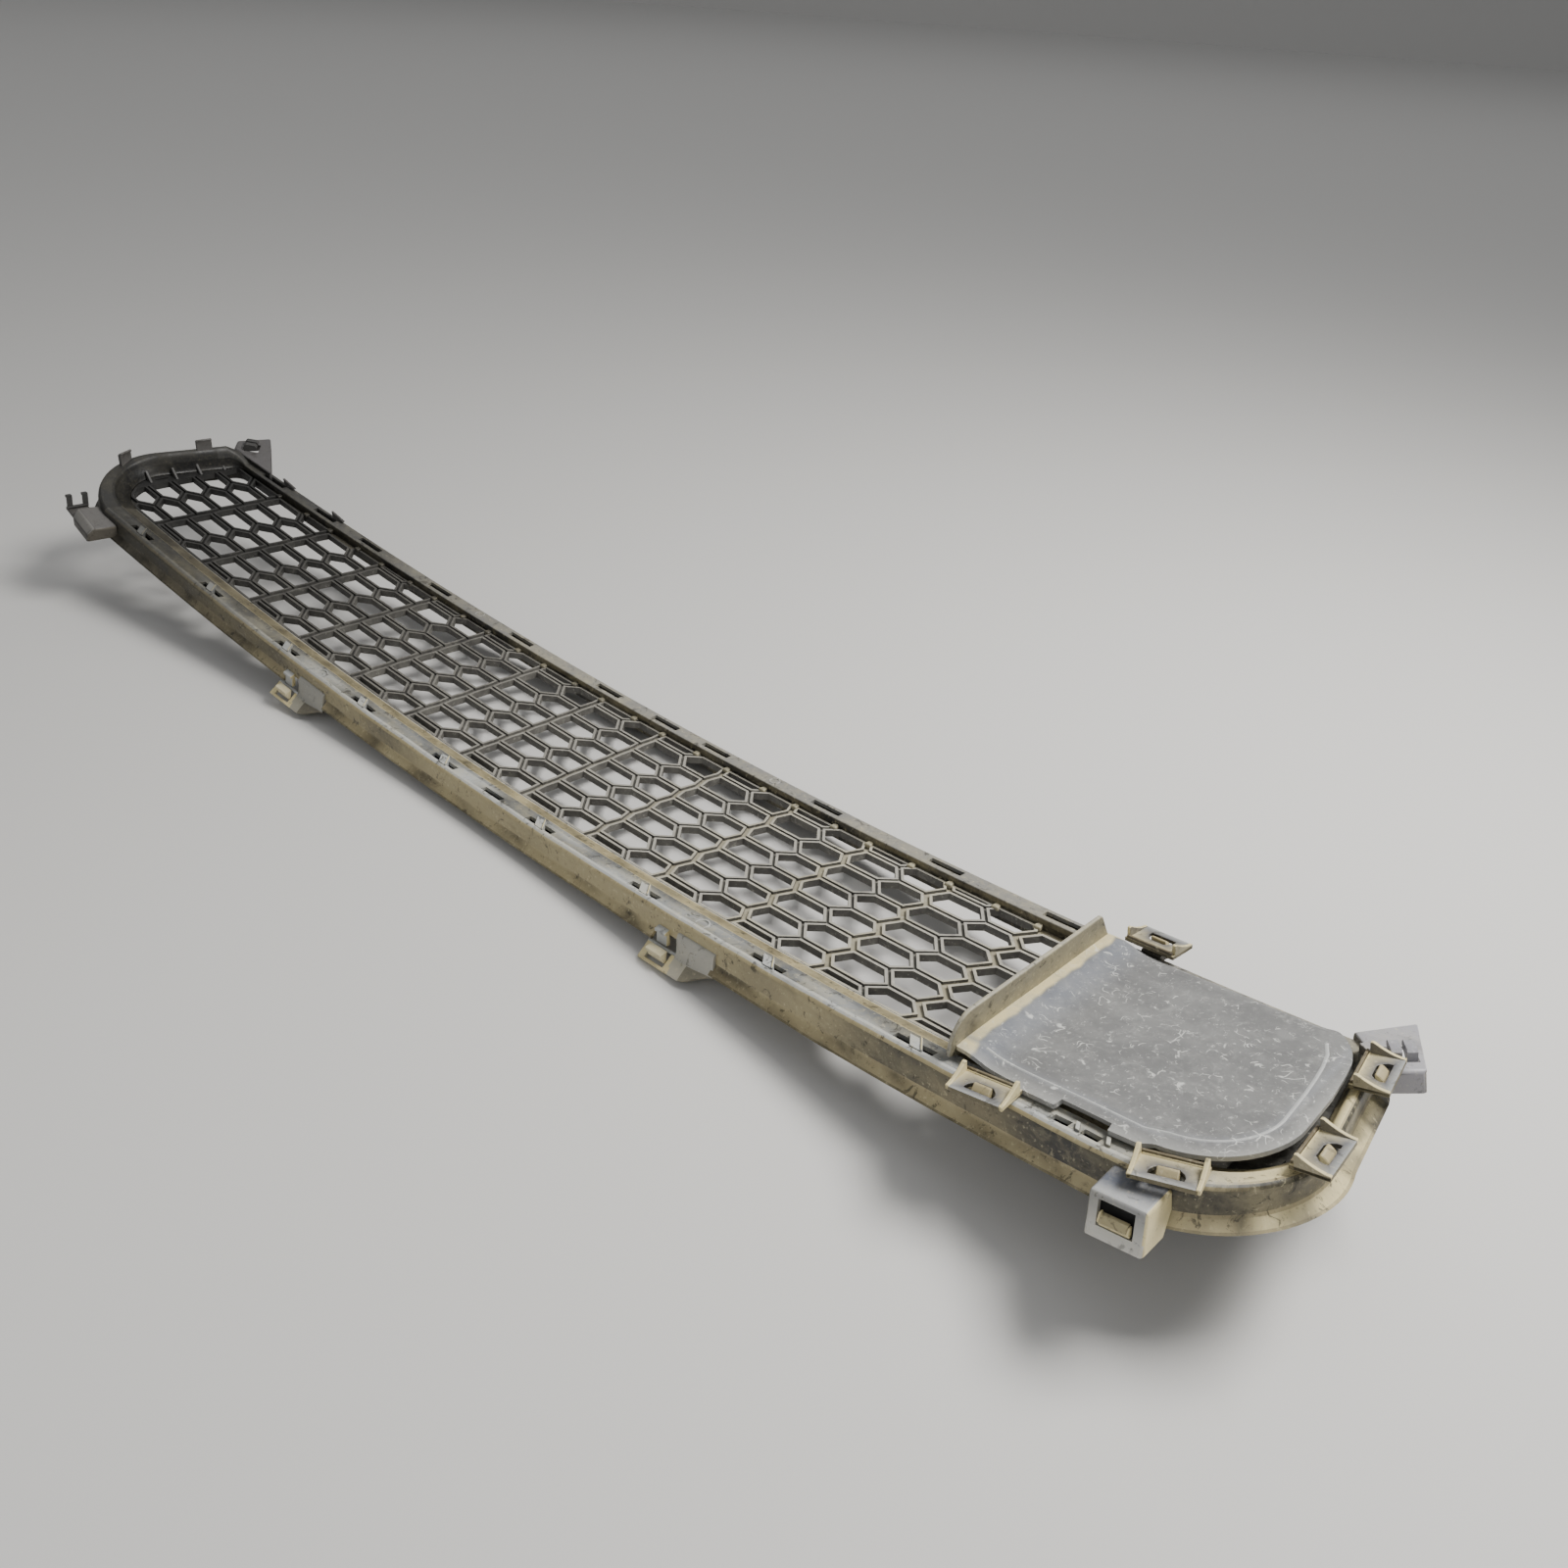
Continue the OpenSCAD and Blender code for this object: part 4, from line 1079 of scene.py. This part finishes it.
# upper brackets: ears with a slotted clip
EARS = {"left": [(-7.2, 0), (7.2, 0), (37.6, 36.9), (-20.1, 25.3)],
        "right": [(-8.8, 0), (8.8, 0), (14.4, 40.2), (-18.6, 32.4)]}
for side in ("left", "right"):
    m = turned(*BRACKETS["upper_" + side])
    g = Shape()
    dark = side == "left"
    # the left ear is dark, partly dark plastic and partly painted shade of the far end; the wall facing the
    # front is painted lighter than the other walls as a gloss highlight
    top, wall, gloss_highlight = (srgb(84, 82, 82), srgb(66, 64, 64), srgb(78, 76, 76)) if dark else \
        (srgb(158, 157, 161), srgb(112, 108, 102), srgb(150, 148, 152))
    plan = EARS[side]
    # the corner between the end and the rail stays free of the ear
    away = Vector((-0.707 if dark else 0.707, 0.707))
    away = Matrix.Rotation(-math.radians(BRACKETS["upper_" + side][3]), 2) @ away
    if not dark:
        plan, _ = clip(plan, [0] * 4, (-8.8, 0.5), tuple(away), 1)
    hole = [(-5, 7), (8, 7), (8, 20), (-5, 20)]
    n = len(plan)
    flat, faces = triangles([plan, hole])
    tints = [top] * len(faces)
    pts = [(*p, 0) for p in flat]
    mid = Vector((sum(p[0] for p in plan) / n, sum(p[1] for p in plan) / n))
    start = len(pts)
    pts += [(p[0] + 0.05 * (p[0] - mid.x), p[1] + 0.05 * (p[1] - mid.y), -11) for p in plan]
    for i in range(n):
        j = (i + 1) % n
        edge = Vector(plan[j]) - Vector(plan[i])
        out = Vector((edge.y, -edge.x)).normalized()
        if out.dot(away) < -0.6:
            continue
        faces.append([i, start + i, start + j, j])
        tints.append(gloss_highlight if out.y < -0.5 else wall)
    g.add(pts, faces, tints, m)
    piece(g, "upper_bracket_" + side, clip_mat, ROOT, ["upper_%s_bracket" % side],
          bevel=1.8, segments=4, thick=1.8, fade=False, sharp=50)

# step between the upper ear and its hasp
g = Shape()
g.prism([(-6, -3.5), (6, -3.5), (6, 3.5), (-6, 3.5)], [], -4, 2.4, srgb(150, 148, 150), srgb(96, 93, 88),
        turned(512.5, 26.5, 8, -35))
piece(g, "upper_ear_step", clip_mat, ROOT, [], bevel=0.8, segments=3, fade=False)

# dark floors under the slots of the rim and the rail, and behind the corner bracket's window, painted black
# as the shade inside the hollow moulding
slot_shade_sheets = Shape()
for lo, hi, side in ((15.5, 25.5, "low"), (2.8, 9.0, "up")):
    pts, faces = [], []
    for k in range(97):
        x = mix(-478 if side == "low" else -500, 478 if side == "low" else 500, k / 96)
        y0, sign, z = (lower_y(x), -1, 3.4) if side == "low" else (upper_y(x), 1, 0.6)
        pts += [(x, y0 + sign * lo, bend(x) + z), (x, y0 + sign * hi, bend(x) + z)]
    for k in range(96):
        quad = [2 * k, 2 * k + 2, 2 * k + 3, 2 * k + 1]
        faces.append(quad if side == "up" else quad[::-1])
    slot_shade_sheets.add(pts, faces, srgb(16, 16, 16))
m = turned(*BRACKETS["lower_right"])
slot_shade_sheets.add([(-10, -15, -2), (10, -15, -2), (10, -17, -18), (-10, -17, -18)], [[0, 3, 2, 1]],
          srgb(16, 16, 16), m)
piece(slot_shade_sheets, "slot_shade_floors", shade_black, ROOT, [], thick=1.2, fade=False)

# bare tabs and ribs of the free end, and the spikes of the rail
ends = Shape()
for x, y, turn, root in ((-524.9, -64.6, 28, 12.4), (-518.2, 0, -9, 14.6)):
    m = Matrix.Translation((x, y, bend(x) + root)) @ Matrix.Rotation(math.radians(turn), 4, "Z")
    side = [(-1.2, -1.5), (1.2, -1.5), (1.4, 7.8), (2.6, 9.6), (1.2, 10.4), (-1.4, 8.6)]
    ends.prism(side, [], 0, 13, srgb(72, 70, 69), srgb(88, 86, 84),
               m @ Matrix.Translation((0, 6.5, 0)) @ UPRIGHT)
for i in range(-4, 2):
    y = i * ROW + 11.6
    x = -(509 + 2.2 * (y < -40))
    ends.prism([(x, 0.0), (x - 7.5, 0.0), (x - 7.5, 8.5), (x - 5.5, 6.0)], [], -1.1, 1.1,
               srgb(70, 68, 67), srgb(58, 57, 56),
               Matrix.Translation((0, y, bend(x))) @ UPRIGHT)
for x in (-462, -400):
    m = Matrix.Translation((x, upper_y(x) + 9.6, bend(x) + 4)) @ Matrix.Rotation(math.radians(6), 4, "Z")
    ends.prism([(0, 0), (13, 0), (13, 1.2), (-2, 6)], [], -1, 1, srgb(80, 78, 77), srgb(70, 68, 67),
               m @ UPRIGHT)
piece(ends, "free_end_tabs", clip_mat, ROOT, [], bevel=0.4, fade=False)
piece(trim, "emboss_marks", rim_mat, ROOT, [], sharp=60)

# CAD nodes that stay: the snap tongues
for name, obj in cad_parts.items():
    if name.endswith("_tongue") and name != "lower_right_tongue":
        obj.data.materials.clear()
        obj.data.materials.append(light_mat if "mid" in name else ear_mat if "right" in name else shade_mat)
        add_bevel(obj, 0.4, 2)

# ---------------------------------------------------------------- floor, light and camera
low_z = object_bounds()[0][2]
floor_mesh = bpy.data.meshes.new("floor")
back = [(-8 + 60 * s, 9 + 54 * s, h) for s, h in ((-1, low_z), (1, low_z), (1, 30), (-1, 30))]
floor_mesh.from_pydata([(-90, -90, low_z), (90, -90, low_z), (90, 90, low_z), (-90, 90, low_z)] + back, [],
                       [[0, 1, 2, 3], [4, 5, 6, 7]])
floor = bpy.data.objects.new("floor", floor_mesh)
bpy.context.scene.collection.objects.link(floor)
floor_mat = bpy.data.materials.new("floor")
floor_mat.use_nodes = True
floor_shader = floor_mat.node_tree.nodes["Principled BSDF"]
floor_shader.inputs["Base Color"].default_value = (0.62, 0.61, 0.59, 1)
floor_shader.inputs["Roughness"].default_value = 0.9
floor_mesh.materials.append(floor_mat)


def area_light(name, place, target, size, power, colour=(1, 1, 1)):
    data = bpy.data.lights.new(name, "AREA")
    data.shape = "RECTANGLE"
    data.size, data.size_y = size
    data.energy = power
    data.color = colour
    obj = bpy.data.objects.new(name, data)
    obj.location = place
    obj.rotation_euler = (Vector(target) - Vector(place)).to_track_quat("-Z", "Y").to_euler()
    bpy.context.scene.collection.objects.link(obj)


area_light("key", (0.75, 0.55, 1.25), (0.2, 0, 0), (0.7, 0.5), 33, (1.0, 0.985, 0.96))
area_light("fill", (0.9, -1.6, 1.2), (0.1, 0, 0), (1.6, 1.2), 7, (0.97, 0.985, 1.0))
area_light("sky", (-2.0, 2.8, 6.0), (-1.6, 2.2, 0), (9.0, 9.0), 120, (1.0, 1.0, 1.0))
world = bpy.data.worlds.new("studio")
world.use_nodes = True
world.node_tree.nodes["Background"].inputs["Color"].default_value = (0.9, 0.92, 0.95, 1)
world.node_tree.nodes["Background"].inputs["Strength"].default_value = 0.30
bpy.context.scene.world = world

cam_data = bpy.data.cameras.new("camera")
cam_data.sensor_width = 36
cam_data.lens = 32.408415
cam_data.clip_start = 0.01
camera = bpy.data.objects.new("camera", cam_data)
ahead = Vector((-0.572584, 0.640665, -0.511562)).normalized()
upward = Vector((-0.394813, 0.331380, 0.856919)).normalized()
across = ahead.cross(upward).normalized()
upward = across.cross(ahead)
camera.matrix_world = Matrix((
    (across.x, upward.x, -ahead.x, 0.637817), (across.y, upward.y, -ahead.y, -0.522980),
    (across.z, upward.z, -ahead.z, 0.479652), (0, 0, 0, 1)))
bpy.context.scene.collection.objects.link(camera)
bpy.context.scene.camera = camera
